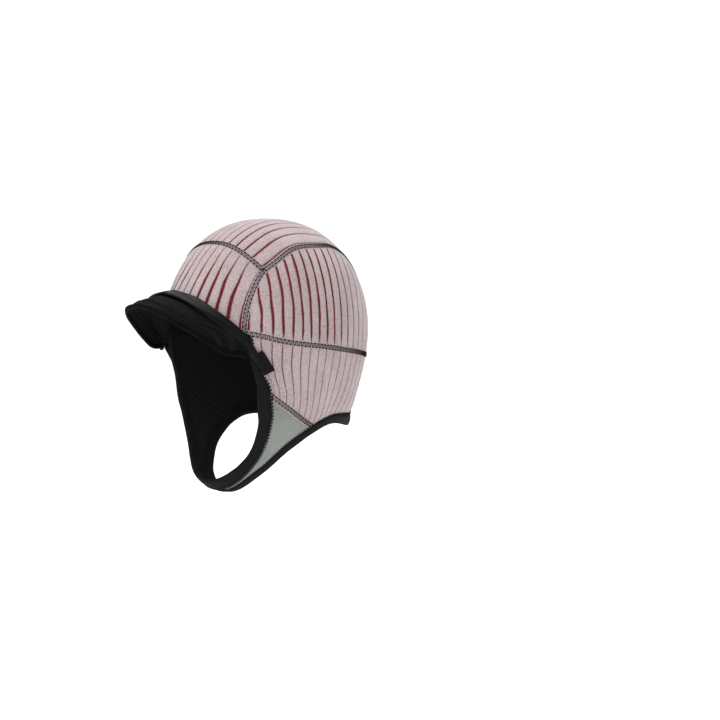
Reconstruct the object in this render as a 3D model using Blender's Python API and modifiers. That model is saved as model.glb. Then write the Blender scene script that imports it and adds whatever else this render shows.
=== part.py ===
"""Neoprene cap: ribbed crown panels, chin flaps, face and neck bands, brow lip and soft peak."""
import math

import bmesh
import bpy
from mathutils import Vector

# Head sizes the cap is cut for, outside of the cloth, in metres.
HEAD_LENGTH = 0.197
HEAD_WIDTH = 0.160
CROWN_HEIGHT = 0.111
CHIN_DROP = 0.132
EAR_LEVEL = -0.108

# Cloth sizes.
WALL = 0.003
SEAM_GAP = 0.0005
RIB_PITCH = 0.009
RIB_DEPTH = 0.0009
GROOVE_HALF = 0.0015
RIB_LEAN = 0.10
LAP_GAP = 0.0004
MERGE_GAP = 0.0001

HALF_LENGTH = HEAD_LENGTH / 2
HALF_WIDTH = HEAD_WIDTH / 2

# Side outline and fullness of the cap, around the ear.
# angle: degrees from the face, 90 is the crown, 180 the back, 270 the neck
# reach: share of the ellipse of HALF_LENGTH with CROWN_HEIGHT or CHIN_DROP
# side, middle: exponents of the arch from ear to centre line, 2 is round
FORM_ROWS = (
    (0, 1.00, 2.15, 2.15),
    (25, 1.02, 2.20, 2.20),
    (50, 1.035, 2.30, 2.30),
    (70, 1.02, 2.35, 2.35),
    (90, 1.00, 2.35, 2.35),
    (110, 1.00, 2.35, 2.35),
    (130, 1.00, 2.30, 2.30),
    (155, 1.00, 2.20, 2.20),
    (180, 0.98, 2.10, 2.10),
    (205, 0.95, 2.05, 2.05),
    (216, 0.95, 2.02, 2.02),
    (228, 0.965, 1.98, 1.98),
    (250, 0.90, 1.80, 1.97),
    (270, 0.97, 1.62, 1.97),
    (282, 1.06, 1.52, 1.98),
    (292, 1.17, 1.48, 2.00),
    (300, 1.225, 1.50, 2.02),
    (315, 1.17, 1.70, 1.97),
    (335, 1.04, 1.90, 2.00),
)

# Half width of the middle of the crown, between the long seams.
# angle: degrees as above; width: share of HALF_WIDTH
LONG_SEAM_ROWS = (
    (10, 0.690),
    (25, 0.690),
    (38, 0.697),
    (51.5, 0.703),
    (57, 0.718),
    (64, 0.724),
    (78, 0.708),
    (98, 0.690),
    (109, 0.640),
    (118, 0.595),
    (128, 0.540),
    (140, 0.480),
    (155, 0.405),
    (172, 0.345),
    (191.5, 0.300),
)
FRONT_SEAM_ANGLE = 51.5
FRONT_SEAM_RISE = 3.5
BACK_SEAM_ANGLE = 191.5
BACK_WIDTH = 0.300
TEMPLE_ANGLE = 10

# Seam across the side, over the ear.
# back: share of HALF_LENGTH behind the ear; drop: share of CHIN_DROP below the ear
EAR_SEAM_ROWS = (
    (-0.80, -0.105),
    (-0.64, -0.080),
    (-0.48, -0.045),
    (-0.28, -0.017),
    (-0.06, 0.005),
    (0.20, 0.037),
    (0.46, 0.070),
    (0.76, 0.112),
    (0.98, 0.135),
)

# Lower edge of the ribbed side, down to the chin flap and the neck band.
# back, drop: as in the seam over the ear
CHEEK_SEAM_ROWS = (
    (-0.535, 0.314),
    (-0.44, 0.364),
    (-0.295, 0.432),
    (-0.148, 0.496),
    (-0.019, 0.542),
)

# Face band, from the temple round under the chin.
# in: the edge on the face; out: the edge on the cheek; angle and share of the reach
FACE_BAND_ROWS = (
    (370.0, 0.764, 369.2, 0.630),
    (357.0, 0.725, 354.0, 0.590),
    (342.0, 0.680, 339.0, 0.568),
    (328.5, 0.652, 325.0, 0.548),
    (315.5, 0.659, 311.0, 0.563),
    (310.5, 0.672, 305.0, 0.602),
    (305.5, 0.722, 300.5, 0.668),
    (302.5, 0.786, 297.5, 0.760),
    (301.5, 0.865, 296.3, 0.855),
    (301.5, 0.930, 296.0, 0.930),
    (301.5, 1.000, 296.2, 1.000),
)

# Neck band, from under the chin round to the nape.
# up: the sewn edge; low: the free edge; angle and share of the reach
NECK_BAND_ROWS = (
    (295.8, 1.000, 289.0, 1.000),
    (295.6, 0.935, 288.6, 0.945),
    (295.0, 0.875, 288.0, 0.897),
    (292.2, 0.802, 286.8, 0.842),
    (289.0, 0.710, 284.0, 0.755),
    (285.0, 0.646, 279.5, 0.696),
    (278.0, 0.598, 271.2, 0.652),
    (268.0, 0.569, 262.4, 0.648),
    (258.0, 0.586, 254.5, 0.676),
    (247.0, 0.640, 246.3, 0.735),
    (237.0, 0.722, 239.0, 0.812),
    (228.0, 0.851, 232.0, 0.905),
    (222.3, 0.940, 228.4, 0.968),
    (219.5, 1.000, 226.8, 1.000),
)

# Brow lip, from the middle of the forehead to its tail inside the face band.
# angle, width: where its root lies, degrees and share of HALF_WIDTH
# out, down: how far its edge stands off the root, shares of LIP_OUT and LIP_DOWN
# thick: share of LIP_THICK
LIP_OUT = 0.0178
LIP_DOWN = 0.013
LIP_THICK = 0.0056
LIP_ROWS = (
    (25.6, 0.000, 1.00, 0.12, 1.00),
    (24.0, 0.240, 0.94, 0.27, 1.00),
    (20.6, 0.420, 0.78, 0.55, 1.00),
    (16.5, 0.560, 0.50, 0.80, 0.95),
    (11.0, 0.670, 0.27, 0.92, 0.90),
    (4.0, 0.735, 0.17, 1.00, 0.80),
    (356.0, 0.775, 0.09, 0.85, 0.65),
    (347.0, 0.790, 0.04, 0.60, 0.45),
)
BROW_FLARE = 0.008

# Peak, a soft arched visor held level.
# width: share of PEAK_HALF_WIDTH; front: share of PEAK_REACH ahead of the ear
# drop: share of PEAK_FALL below the middle of the peak
PEAK_HALF_WIDTH = 0.0600
PEAK_REACH = 0.1455
PEAK_TOP = -0.0690
PEAK_FALL = 0.0545
PEAK_WALL = 0.0022
PEAK_RIM_ROWS = (
    (0.00, 1.000, 0.00),
    (0.33, 0.985, 0.07),
    (0.52, 0.925, 0.21),
    (0.66, 0.840, 0.38),
    (0.80, 0.730, 0.60),
    (0.925, 0.600, 0.84),
    (1.00, 0.510, 1.00),
)
PEAK_EDGE_RADIUS = 0.0019
PEAK_SPREAD = 0.70
PEAK_TUCK = 0.0035
RIM_STAND = 0.0002

# Where the panels and the edges of the bands end.
# steps: divisions round a band; shares: places along a band's table
FACE_STEPS = 40
NECK_STEPS = 52
CHEEK_SHARE = 0.325
NAPE_SHARE = 12 / 13
FLAP_SHARE = 6.7 / 13
FLAP_END_FACE = 0.845
FLAP_END_NECK = 0.160
CORNER_TRIM = 0.0018
REAR_TRIM = 0.0012
CORNER_RISE = 0.0006
REAR_SHARE = BACK_WIDTH + 0.004

# Pull tab at each temple.
# back, drop: where it starts, shares of HALF_LENGTH and CHIN_DROP; slope: degrees down from level
TAB_BACK = -0.609
TAB_DROP = 0.102
TAB_SLOPE = 59.3
TAB_LENGTH = 0.016
TAB_HEIGHT = 0.008
TAB_WALL = 0.0016


def clear_scene():
    """Take away whatever the file starts with."""
    for thing in list(bpy.data.objects):
        bpy.data.objects.remove(thing, do_unlink=True)


def smooth_at(rows, at, column, period=None):
    """Value of one column of a table at a place, on a smooth curve through its rows."""
    keys = [row[0] for row in rows]
    values = [row[column] for row in rows]
    if period:
        at = at % period
        keys = [keys[-1] - period] + keys + [keys[0] + period, keys[1] + period]
        values = [values[-1]] + values + [values[0], values[1]]
    if keys[0] > keys[-1]:
        keys.reverse()
        values.reverse()
    at = min(max(at, keys[0]), keys[-1])
    index = 0
    while index < len(keys) - 2 and at > keys[index + 1]:
        index += 1
    span = keys[index + 1] - keys[index]
    share = (at - keys[index]) / span
    slopes = []
    for place in (index, index + 1):
        before = max(place - 1, 0)
        after = min(place + 1, len(keys) - 1)
        slopes.append((values[after] - values[before]) / (keys[after] - keys[before]) * span)
    square, cube = share * share, share ** 3
    start = values[index] * (2 * cube - 3 * square + 1)
    end = values[index + 1] * (3 * square - 2 * cube)
    return start + end + slopes[0] * (cube - 2 * square + share) + slopes[1] * (cube - square)


def along(rows, share, column):
    """Value of one column at a share of the way down a table, rows evenly spread."""
    spread = [(index / (len(rows) - 1), row[column]) for index, row in enumerate(rows)]
    return smooth_at(spread, share, 1)


def reach(angle):
    """Distance from the ear axis to the centre line of the cap."""
    turn = math.radians(angle)
    rise = CROWN_HEIGHT if math.sin(turn) >= 0 else CHIN_DROP
    ellipse = 1 / math.hypot(math.cos(turn) / HALF_LENGTH, math.sin(turn) / rise)
    return ellipse * smooth_at(FORM_ROWS, angle, 1, 360)


def fullness(angle):
    """Exponents of the arch, at the side and at the centre line."""
    return smooth_at(FORM_ROWS, angle, 2, 360), smooth_at(FORM_ROWS, angle, 3, 360)


def form_point(angle, share, side=1):
    """Point on the outside of the cap, at an angle and a share of the reach."""
    turn = math.radians(angle)
    share = min(share, 1)
    distance = reach(angle) * share
    at_side, at_middle = fullness(angle)
    across = HALF_WIDTH * (1 - share ** at_side) ** (1 / at_middle)
    return Vector((side * across, -distance * math.cos(turn), EAR_LEVEL + distance * math.sin(turn)))


def width_point(angle, width):
    """Point on the outside of the cap, at an angle and a signed share of the half width."""
    at_side, at_middle = fullness(angle)
    share = (1 - abs(width) ** at_middle) ** (1 / at_side)
    return form_point(angle, share, 1 if width >= 0 else -1)


def side_point(back, drop, side=1):
    """Point on the side of the cap, from its place in the side view."""
    angle = math.degrees(math.atan2(-drop, -back)) % 360
    share = math.hypot(back, drop) / reach(angle)
    return form_point(angle, share, side)


def outward(point):
    """Outward direction of the cap at a point on it."""
    back, drop = point.y, EAR_LEVEL - point.z
    step = 0.0005
    side = 1 if point.x >= 0 else -1
    if abs(point.x) > 0.35 * HALF_WIDTH:
        east = side_point(back + step, drop, side) - side_point(back - step, drop, side)
        up = side_point(back, drop - step, side) - side_point(back, drop + step, side)
        normal = up.cross(east) * -side
    else:
        angle = math.degrees(math.atan2(-drop, -back))
        width = point.x / HALF_WIDTH
        round_way = width_point(angle + 0.4, width) - width_point(angle - 0.4, width)
        across = width_point(angle, width + 0.005) - width_point(angle, width - 0.005)
        normal = round_way.cross(across)
    normal.normalize()
    if normal.dot(point - Vector((0, 0, EAR_LEVEL))) < 0:
        normal.negate()
    return normal


def new_material(name, colour, roughness, metallic=0.0):
    """A plain finish for one sub-part."""
    material = bpy.data.materials.new(name)
    material.use_nodes = True
    shader = material.node_tree.nodes["Principled BSDF"]
    shader.inputs["Base Color"].default_value = (*colour, 1)
    shader.inputs["Roughness"].default_value = roughness
    shader.inputs["Metallic"].default_value = metallic
    material.diffuse_color = (*colour, 1)
    return material


def new_object(name, mesh_data, material, collection):
    """Turn a bmesh into a smooth shaded object of the cap."""
    mesh = bpy.data.meshes.new(name)
    mesh_data.to_mesh(mesh)
    mesh_data.free()
    mesh.materials.append(material)
    for face in mesh.polygons:
        face.use_smooth = True
    thing = bpy.data.objects.new(name, mesh)
    collection.objects.link(thing)
    return thing


def sheet(columns, rows, place, closed=False):
    """Open grid whose vertices are placed by a function of two shares."""
    data = bmesh.new()
    bmesh.ops.create_grid(data, x_segments=len(columns) - 1, y_segments=len(rows) - 1, size=1)
    wide, tall = len(columns) - 1, len(rows) - 1
    for vertex in data.verts:
        column = round((vertex.co.x + 1) / 2 * wide)
        row = round((vertex.co.y + 1) / 2 * tall)
        vertex.co = place(columns[column], rows[row])
    if closed:
        bmesh.ops.remove_doubles(data, verts=data.verts, dist=MERGE_GAP)
    return data


def face_out(data):
    """Turn an open sheet so its faces look away from the middle of the head."""
    data.normal_update()
    middle = Vector((0, 0, EAR_LEVEL))
    total = sum(face.normal.dot(face.calc_center_median() - middle) for face in data.faces)
    if total < 0:
        bmesh.ops.reverse_faces(data, faces=data.faces)
        data.normal_update()


def cloth(name, data, wall, material, collection):
    """Make a sewn piece of one thickness from its outer sheet."""
    face_out(data)
    thing = new_object(name, data, material, collection)
    solid = thing.modifiers.new("Wall", "SOLIDIFY")
    solid.thickness = wall
    solid.offset = -1
    solid.use_even_offset = True
    return thing


def evenly(count):
    """Shares from 0 to 1 in equal steps."""
    return [index / count for index in range(count + 1)]


def rib_columns(start, end):
    """Places of the ribs' sides and grooves between two edges, with the groove depth at each."""
    places = [(start, 0.0)]
    groove = math.ceil((start + 2.5 * GROOVE_HALF) / RIB_PITCH) * RIB_PITCH
    while groove < end - 2.5 * GROOVE_HALF:
        places += [(groove - GROOVE_HALF, 0.0), (groove, RIB_DEPTH), (groove + GROOVE_HALF, 0.0)]
        groove += RIB_PITCH
    places.append((end, 0.0))
    return places


def seam_share(angle):
    """Half width of the middle of the crown, as a share."""
    return smooth_at(LONG_SEAM_ROWS, angle, 1)


def crown_centre(material, collection):
    """The long panel over the top of the head."""
    ribs = rib_columns(-0.70 * HALF_WIDTH, 0.70 * HALF_WIDTH)
    edge = ribs[-1][0]
    rows = evenly(16)

    def place(column, row):
        across, depth = column
        trim = SEAM_GAP / 2 / HALF_WIDTH
        start, end = FRONT_SEAM_ANGLE + 0.18, BACK_SEAM_ANGLE - 0.18
        angle = start + (end - start) * row
        share = across / edge
        angle += FRONT_SEAM_RISE * (1 - share ** 2) * (1 - row) ** 3
        width = (seam_share(angle) - trim * 1.8) * share
        point = width_point(angle, width)
        return point - outward(point) * depth

    data = sheet(ribs, rows, place)
    return cloth("crown_centre_panel", data, WALL, material, collection)


def forehead(material, collection):
    """The ribbed panel over the brow."""
    ribs = rib_columns(-0.69 * HALF_WIDTH, 0.69 * HALF_WIDTH)
    edge = ribs[-1][0]
    rows = evenly(7)

    def place(column, row):
        across, depth = column
        share = across / edge
        top = FRONT_SEAM_ANGLE - 0.18 + FRONT_SEAM_RISE * (1 - share ** 2)
        low = TEMPLE_ANGLE + 1.2 + 11.5 * (1 - abs(share) ** 2.0)
        angle = low + (top - low) * row
        width = (seam_share(angle) - SEAM_GAP / 2 / HALF_WIDTH * 2.2) * share
        point = width_point(angle, width)
        flare = BROW_FLARE * (1 - share ** 2) * (1 - row) ** 2.2
        return point + outward(point) * (flare - depth)

    data = sheet(ribs, rows, place)
    return cloth("forehead_panel", data, WALL, material, collection)


def leaning(point):
    """Place of a point along the side, measured square to the leaning ribs."""
    return point.y + RIB_LEAN * (EAR_LEVEL - point.z)


def seam_height(samples, spot):
    """Height of a sampled seam at a place along the side."""
    for near, far in zip(samples, samples[1:]):
        if leaning(near) <= spot <= leaning(far):
            share = (spot - leaning(near)) / (leaning(far) - leaning(near))
            return near.z + (far.z - near.z) * share
    return samples[0].z if spot < leaning(samples[0]) else samples[-1].z


def long_seam_samples():
    """Points of the long seam from temple to the back."""
    steps = 120
    span = BACK_SEAM_ANGLE - TEMPLE_ANGLE
    angles = [TEMPLE_ANGLE + span * index / steps for index in range(steps + 1)]
    return [width_point(angle, seam_share(angle)) for angle in angles]


def ear_seam_drop(back):
    """Drop of the seam over the ear at a place behind the ear."""
    return smooth_at(EAR_SEAM_ROWS, back / HALF_LENGTH, 1) * CHIN_DROP


def side_upper(side, material, collection):
    """Ribbed panel over the ear, one side."""
    seam = long_seam_samples()
    front = leaning(seam[0]) + CORNER_TRIM
    rear = leaning(seam[-1]) - REAR_TRIM
    ribs = rib_columns(front, rear)
    rows = evenly(7)

    def place(column, row):
        spot, depth = column
        gap = SEAM_GAP / 2
        slope = (seam_height(seam, spot + 0.001) - seam_height(seam, spot - 0.001)) / 0.002
        high = seam_height(seam, spot) - gap * math.hypot(1, slope) * 2.0
        low_back = spot - RIB_LEAN * ear_seam_drop(spot)
        low = EAR_LEVEL - ear_seam_drop(low_back) + gap
        height = low + (max(high, low + REAR_TRIM) - low) * row
        drop = EAR_LEVEL - height
        point = side_point(spot - RIB_LEAN * drop, drop, side)
        return point - outward(point) * depth

    data = sheet(ribs, rows, place)
    name = "side_upper_left" if side > 0 else "side_upper_right"
    return cloth(name, data, WALL, material, collection)


def rail_point(rows, share, first, side=1):
    """Point on an edge of a band, at a share of the way down its table."""
    angle = along(rows, share, first)
    return form_point(angle, along(rows, share, first + 1), side)


def to_side(point):
    """Place of a point in the side view, behind and below the ear."""
    return Vector((point.y, EAR_LEVEL - point.z))


def cheek_seam(share):
    """Place of the seam over the chin flap in the side view, from face band to neck band."""
    line = Vector((along(CHEEK_SEAM_ROWS, share, 0) * HALF_LENGTH,
                   along(CHEEK_SEAM_ROWS, share, 1) * CHIN_DROP))
    first = Vector((CHEEK_SEAM_ROWS[0][0] * HALF_LENGTH, CHEEK_SEAM_ROWS[0][1] * CHIN_DROP))
    last = Vector((CHEEK_SEAM_ROWS[-1][0] * HALF_LENGTH, CHEEK_SEAM_ROWS[-1][1] * CHIN_DROP))
    start = to_side(rail_point(FACE_BAND_ROWS, CHEEK_SHARE, 2))
    end = to_side(rail_point(NECK_BAND_ROWS, FLAP_SHARE, 0))
    return line + (start - first) * (1 - share) + (end - last) * share


def side_lower(side, material, collection):
    """Panel below the ear, one side, with fine ribs."""
    rear_top = to_side(width_point(BACK_SEAM_ANGLE, REAR_SHARE))
    cut = 7 / 16
    columns = [cut * share for share in evenly(7)]
    columns += [cut + (1 - cut) * (1 - (1 - share) ** 1.7) for share in evenly(11)[1:]]
    rows = evenly(8)
    gap = SEAM_GAP / 2

    nape_width = rail_point(NECK_BAND_ROWS, NAPE_SHARE, 0).x / HALF_WIDTH

    def top(share):
        start = to_side(rail_point(FACE_BAND_ROWS, 0, 2)).x + LAP_GAP
        back = start + (rear_top.x - start) * share
        return Vector((back, ear_seam_drop(back) + gap))

    def low(share):
        if share < cut:
            return cheek_seam(share / cut) + Vector((gap * (1 - share / cut), -gap))
        part = (share - cut) / (1 - cut)
        spot = FLAP_SHARE + (NAPE_SHARE - FLAP_SHARE) * part
        return to_side(rail_point(NECK_BAND_ROWS, spot, 0)) - Vector((0, gap))

    def front(share):
        edge = to_side(rail_point(FACE_BAND_ROWS, CHEEK_SHARE * share, 2)) + Vector((gap, -gap * share))
        return edge + (top(0) - front_start) * (1 - share) ** 3

    def rear(share):
        angle = BACK_SEAM_ANGLE + (222.3 - BACK_SEAM_ANGLE) * share
        width = REAR_SHARE + (nape_width - REAR_SHARE) * share
        spot = to_side(width_point(angle, width))
        return spot - Vector((0, gap * share)) + Vector((0, CORNER_RISE * (1 - share)))

    front_start = to_side(rail_point(FACE_BAND_ROWS, 0, 2)) + Vector((gap, 0))

    def place(column, row):
        edges = top(column) * (1 - row) + low(column) * row
        sides = front(row) * (1 - column) + rear(row) * column
        corners = (top(0) * (1 - column) + top(1) * column) * (1 - row)
        corners += (low(0) * (1 - column) + low(1) * column) * row
        spot = edges + sides - corners
        return side_point(spot.x, spot.y, side)

    data = sheet(columns, rows, place)
    name = "side_lower_left" if side > 0 else "side_lower_right"
    return cloth(name, data, WALL, material, collection)


def back_lower(material, collection):
    """Panel at the nape, below the seam round the back."""
    columns, rows = evenly(10), evenly(6)
    nape_width = rail_point(NECK_BAND_ROWS, NAPE_SHARE, 0).x / HALF_WIDTH

    def place(column, row):
        across = 2 * column - 1
        top = BACK_SEAM_ANGLE + 0.18
        low = 219.2 + 2.8 * across ** 2
        angle = top + (low - top) * row
        width = BACK_WIDTH + (nape_width - BACK_WIDTH) * row
        return width_point(angle, across * (width - 0.0075))

    data = sheet(columns, rows, place)
    return cloth("back_lower_panel", data, WALL, material, collection)


def chin_flap(side, material, collection):
    """Grey flap from the cheek down to the chin, one side."""
    columns, rows = evenly(7), evenly(9)
    gap = SEAM_GAP / 2

    def place(column, row):
        face_spot = CHEEK_SHARE + (FLAP_END_FACE - CHEEK_SHARE) * row
        neck_spot = FLAP_SHARE + (FLAP_END_NECK - FLAP_SHARE) * row
        front = to_side(rail_point(FACE_BAND_ROWS, face_spot, 2)) + Vector((gap, 0))
        rear = to_side(rail_point(NECK_BAND_ROWS, neck_spot, 0)) - Vector((2.0 * gap, 2.0 * gap))
        spot = front * (1 - column) + rear * column
        straight = cheek_seam(0) * (1 - column) + cheek_seam(1) * column
        bulge = cheek_seam(column) - straight + Vector((0, 3.4 * gap))
        spot += bulge * (1 - row) ** 2
        return side_point(spot.x, spot.y, side)

    data = sheet(columns, rows, place)
    name = "chin_flap_left" if side > 0 else "chin_flap_right"
    return cloth(name, data, WALL, material, collection)


def face_band(material, collection):
    """Knit band round the face opening, temple to temple under the chin."""
    columns, rows = evenly(FACE_STEPS), evenly(2)

    def place(column, row):
        share = 2 * column if column <= 0.5 else 2 - 2 * column
        side = 1 if column <= 0.5 else -1
        inner = rail_point(FACE_BAND_ROWS, share, 0, side)
        outer = rail_point(FACE_BAND_ROWS, share, 2, side)
        angle = along(FACE_BAND_ROWS, share, 0) * (1 - row) + along(FACE_BAND_ROWS, share, 2) * row
        width = along(FACE_BAND_ROWS, share, 1) * (1 - row) + along(FACE_BAND_ROWS, share, 3) * row
        if row == 0:
            return inner
        if row == 1:
            return outer - (outer - inner).normalized() * SEAM_GAP / 2
        return form_point(angle, width, side)

    data = sheet(columns, rows, place)
    return cloth("face_band", data, WALL, material, collection)


def neck_band(material, collection):
    """Knit band round the neck opening, a closed loop."""
    columns, rows = evenly(NECK_STEPS), evenly(2)

    def place(column, row):
        share = 2 * column if column <= 0.5 else 2 - 2 * column
        side = 1 if column <= 0.5 else -1
        upper = rail_point(NECK_BAND_ROWS, share, 0, side)
        lower = rail_point(NECK_BAND_ROWS, share, 2, side)
        angle = along(NECK_BAND_ROWS, share, 0) * (1 - row) + along(NECK_BAND_ROWS, share, 2) * row
        width = along(NECK_BAND_ROWS, share, 1) * (1 - row) + along(NECK_BAND_ROWS, share, 3) * row
        if row == 0:
            return upper - (upper - lower).normalized() * SEAM_GAP / 2
        if row == 1:
            return lower
        return form_point(angle, width, side)

    data = sheet(columns, rows, place, closed=True)
    return cloth("neck_band", data, WALL, material, collection)


def lip_frame(column):
    """Root, outward and down directions and sizes of the lip at a place along it."""
    share = abs(2 * column - 1)
    side = -1 if column < 0.5 else 1
    rows = [(row[0] if row[0] < 90 else row[0] - 360,) + row[1:] for row in LIP_ROWS]
    angle = along(rows, share, 0)
    width = max(along(rows, share, 1), 0) * side
    point = width_point(angle, width)
    out = outward(point)
    flat = Vector((out.x, out.y, 0)).normalized()
    lead = max(0, 1 - abs(width) / 0.75)
    flat = (flat * (1 - 0.4 * lead) + Vector((0, -1, 0)) * 0.4 * lead).normalized()
    flare = BROW_FLARE * max(0, 1 - (width / 0.69) ** 2)
    sizes = [along(rows, share, index) for index in (2, 3, 4)]
    return point + out * flare, flat, out, sizes


def brow_lip(material, collection):
    """Smooth lip standing out over the brow, its tails running inside the face band."""
    columns, rows = evenly(32), evenly(10)
    profile = (
        (0.02, 0.00, 0.35),
        (0.35, 0.16, 0.50),
        (0.72, 0.52, 0.50),
        (0.95, 0.88, 0.42),
        (1.02, 1.12, 0.16),
        (0.98, 1.25, -0.20),
        (0.84, 1.22, -0.50),
        (0.55, 0.92, -0.50),
        (0.25, 0.60, -0.50),
        (0.02, 0.42, -0.40),
    )

    def place(column, row):
        root, flat, out, sizes = lip_frame(column)
        index = round(row * 10) % 10
        reach_share, fall_share, thick_share = profile[index]
        thick = LIP_THICK * sizes[2]
        start = root + out * (LAP_GAP + thick * 0.5)
        point = start + flat * LIP_OUT * sizes[0] * reach_share
        point -= Vector((0, 0, 1)) * LIP_DOWN * sizes[1] * fall_share
        lift = (Vector((0, 0, 1)) * 0.7 + out * 0.7).normalized()
        return point + lift * thick * thick_share

    data = sheet(columns, rows, place, closed=True)
    bmesh.ops.holes_fill(data, edges=data.edges)
    bmesh.ops.recalc_face_normals(data, faces=data.faces)
    return new_object("brow_lip", data, material, collection)


def peak_height(across):
    """Height of the peak's top at a share of its half width."""
    return PEAK_TOP - PEAK_FALL * smooth_at([(row[0], row[2]) for row in PEAK_RIM_ROWS], abs(across), 1)


def peak_root(share, tucked):
    """Point under the lip where the peak starts, tucked back to the hem or out at the lip's edge."""
    root, flat, out, sizes = lip_frame((share * PEAK_SPREAD + 1) / 2)
    thick = LIP_THICK * sizes[2]
    stand = LAP_GAP + thick * 0.5
    if tucked:
        inside = 1 - abs(share) ** 3
        fall = LIP_DOWN * sizes[1] * 0.95 + thick * 0.7 + 4 * LAP_GAP
        return root + out * (stand - PEAK_TUCK * inside) - Vector((0, 0, fall))
    fall = LIP_DOWN * sizes[1] * 1.25 + thick * 0.5 + 5 * LAP_GAP
    return root + out * stand + flat * LIP_OUT * sizes[0] * 0.9 - Vector((0, 0, fall))


def peak(material, collection):
    """Soft visor, arched from side to side."""
    columns, rows = evenly(24), [0, 0.2, 0.4, 0.6, 0.8, 1.0]

    def place(column, row):
        across = math.sin((column - 0.5) * math.pi)
        front = smooth_at([(item[0], item[1]) for item in PEAK_RIM_ROWS], abs(across), 1) * PEAK_REACH
        rim = Vector((across * PEAK_HALF_WIDTH, -front, peak_height(across)))
        near = peak_root(2 * column - 1, False)
        if row == 0:
            return peak_root(2 * column - 1, True)
        rim += (near - rim).normalized() * (PEAK_EDGE_RADIUS + LAP_GAP)
        return near + (rim - near) * (row - 0.2) / 0.8

    data = sheet(columns, rows, place)
    data.normal_update()
    if sum(face.normal.z for face in data.faces) < 0:
        bmesh.ops.reverse_faces(data, faces=data.faces)
    thing = new_object("peak", data, material, collection)
    solid = thing.modifiers.new("Wall", "SOLIDIFY")
    solid.thickness = PEAK_WALL
    solid.offset = -1
    return thing


def peak_binding(material, collection):
    """Bound edge round the rim of the peak."""
    curve = bpy.data.curves.new("peak_binding", "CURVE")
    curve.dimensions = "3D"
    curve.bevel_depth = PEAK_EDGE_RADIUS
    curve.bevel_resolution = 1
    curve.use_fill_caps = True
    line = curve.splines.new("POLY")
    steps = 24
    line.points.add(steps)
    for index in range(steps + 1):
        across = math.sin((index / steps - 0.5) * math.pi)
        front = smooth_at([(item[0], item[1]) for item in PEAK_RIM_ROWS], abs(across), 1) * PEAK_REACH
        height = peak_height(across) - PEAK_WALL / 2
        line.points[index].co = (across * (PEAK_HALF_WIDTH + RIM_STAND), -front, height, 1)
    curve.materials.append(material)
    thing = bpy.data.objects.new("peak_binding", curve)
    collection.objects.link(thing)
    return thing


def pull_tab(side, material, collection):
    """Small tab lying over the side, just behind the face band."""
    columns, rows = evenly(6), evenly(2)
    slope = math.radians(TAB_SLOPE)
    start = Vector((TAB_BACK * HALF_LENGTH, TAB_DROP * CHIN_DROP))
    length = Vector((math.cos(slope), math.sin(slope))) * TAB_LENGTH
    height = Vector((math.sin(slope), -math.cos(slope))) * TAB_HEIGHT

    def place(column, row):
        spot = start + length * column + height * row
        point = side_point(spot.x, spot.y, side)
        return point + outward(point) * (LAP_GAP + TAB_WALL)

    data = sheet(columns, rows, place)
    name = "pull_tab_left" if side > 0 else "pull_tab_right"
    return cloth(name, data, TAB_WALL, material, collection)


def build():
    """Make every piece of the cap."""
    clear_scene()
    collection = bpy.data.collections.new("neoprene_cap")
    bpy.context.scene.collection.children.link(collection)
    pink = new_material("ribbed_fabric", (0.43, 0.31, 0.32), 0.9)
    grey = new_material("flap_fabric", (0.26, 0.27, 0.26), 0.9)
    knit = new_material("band_knit", (0.014, 0.014, 0.014), 0.85)
    skin = new_material("smooth_skin", (0.02, 0.02, 0.02), 0.35)
    mesh_cloth = new_material("peak_cloth", (0.012, 0.012, 0.012), 0.7)
    crown_centre(pink, collection)
    forehead(pink, collection)
    for side in (1, -1):
        side_upper(side, pink, collection)
        side_lower(side, pink, collection)
        chin_flap(side, grey, collection)
        pull_tab(side, knit, collection)
    back_lower(pink, collection)
    face_band(knit, collection)
    neck_band(knit, collection)
    brow_lip(skin, collection)
    peak(mesh_cloth, collection)
    peak_binding(skin, collection)


build()
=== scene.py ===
"""Dresses the neoprene cap: ribbed panels, flatlock seams, knit bands, brow lip, peak and tabs."""
import logging
import math
from dataclasses import dataclass, field
from enum import Enum
from typing import Callable, Optional

import bpy
import numpy as np
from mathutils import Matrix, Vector


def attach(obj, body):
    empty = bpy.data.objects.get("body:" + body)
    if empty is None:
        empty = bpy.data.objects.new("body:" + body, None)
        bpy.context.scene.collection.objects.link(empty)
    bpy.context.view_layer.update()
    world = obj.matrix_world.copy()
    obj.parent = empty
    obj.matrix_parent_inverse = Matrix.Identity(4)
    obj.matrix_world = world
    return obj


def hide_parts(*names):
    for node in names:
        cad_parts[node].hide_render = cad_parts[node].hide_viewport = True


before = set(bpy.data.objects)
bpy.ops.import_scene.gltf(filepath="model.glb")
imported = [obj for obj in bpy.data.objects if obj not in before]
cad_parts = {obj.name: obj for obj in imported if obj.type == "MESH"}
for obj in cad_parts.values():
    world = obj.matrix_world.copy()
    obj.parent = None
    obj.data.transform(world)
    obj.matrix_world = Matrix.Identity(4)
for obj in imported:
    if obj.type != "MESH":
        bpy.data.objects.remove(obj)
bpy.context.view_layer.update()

LOG = logging.getLogger("neoprene_cap")
Array = np.ndarray
Node = bpy.types.Node
Socket = bpy.types.NodeSocket

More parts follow.
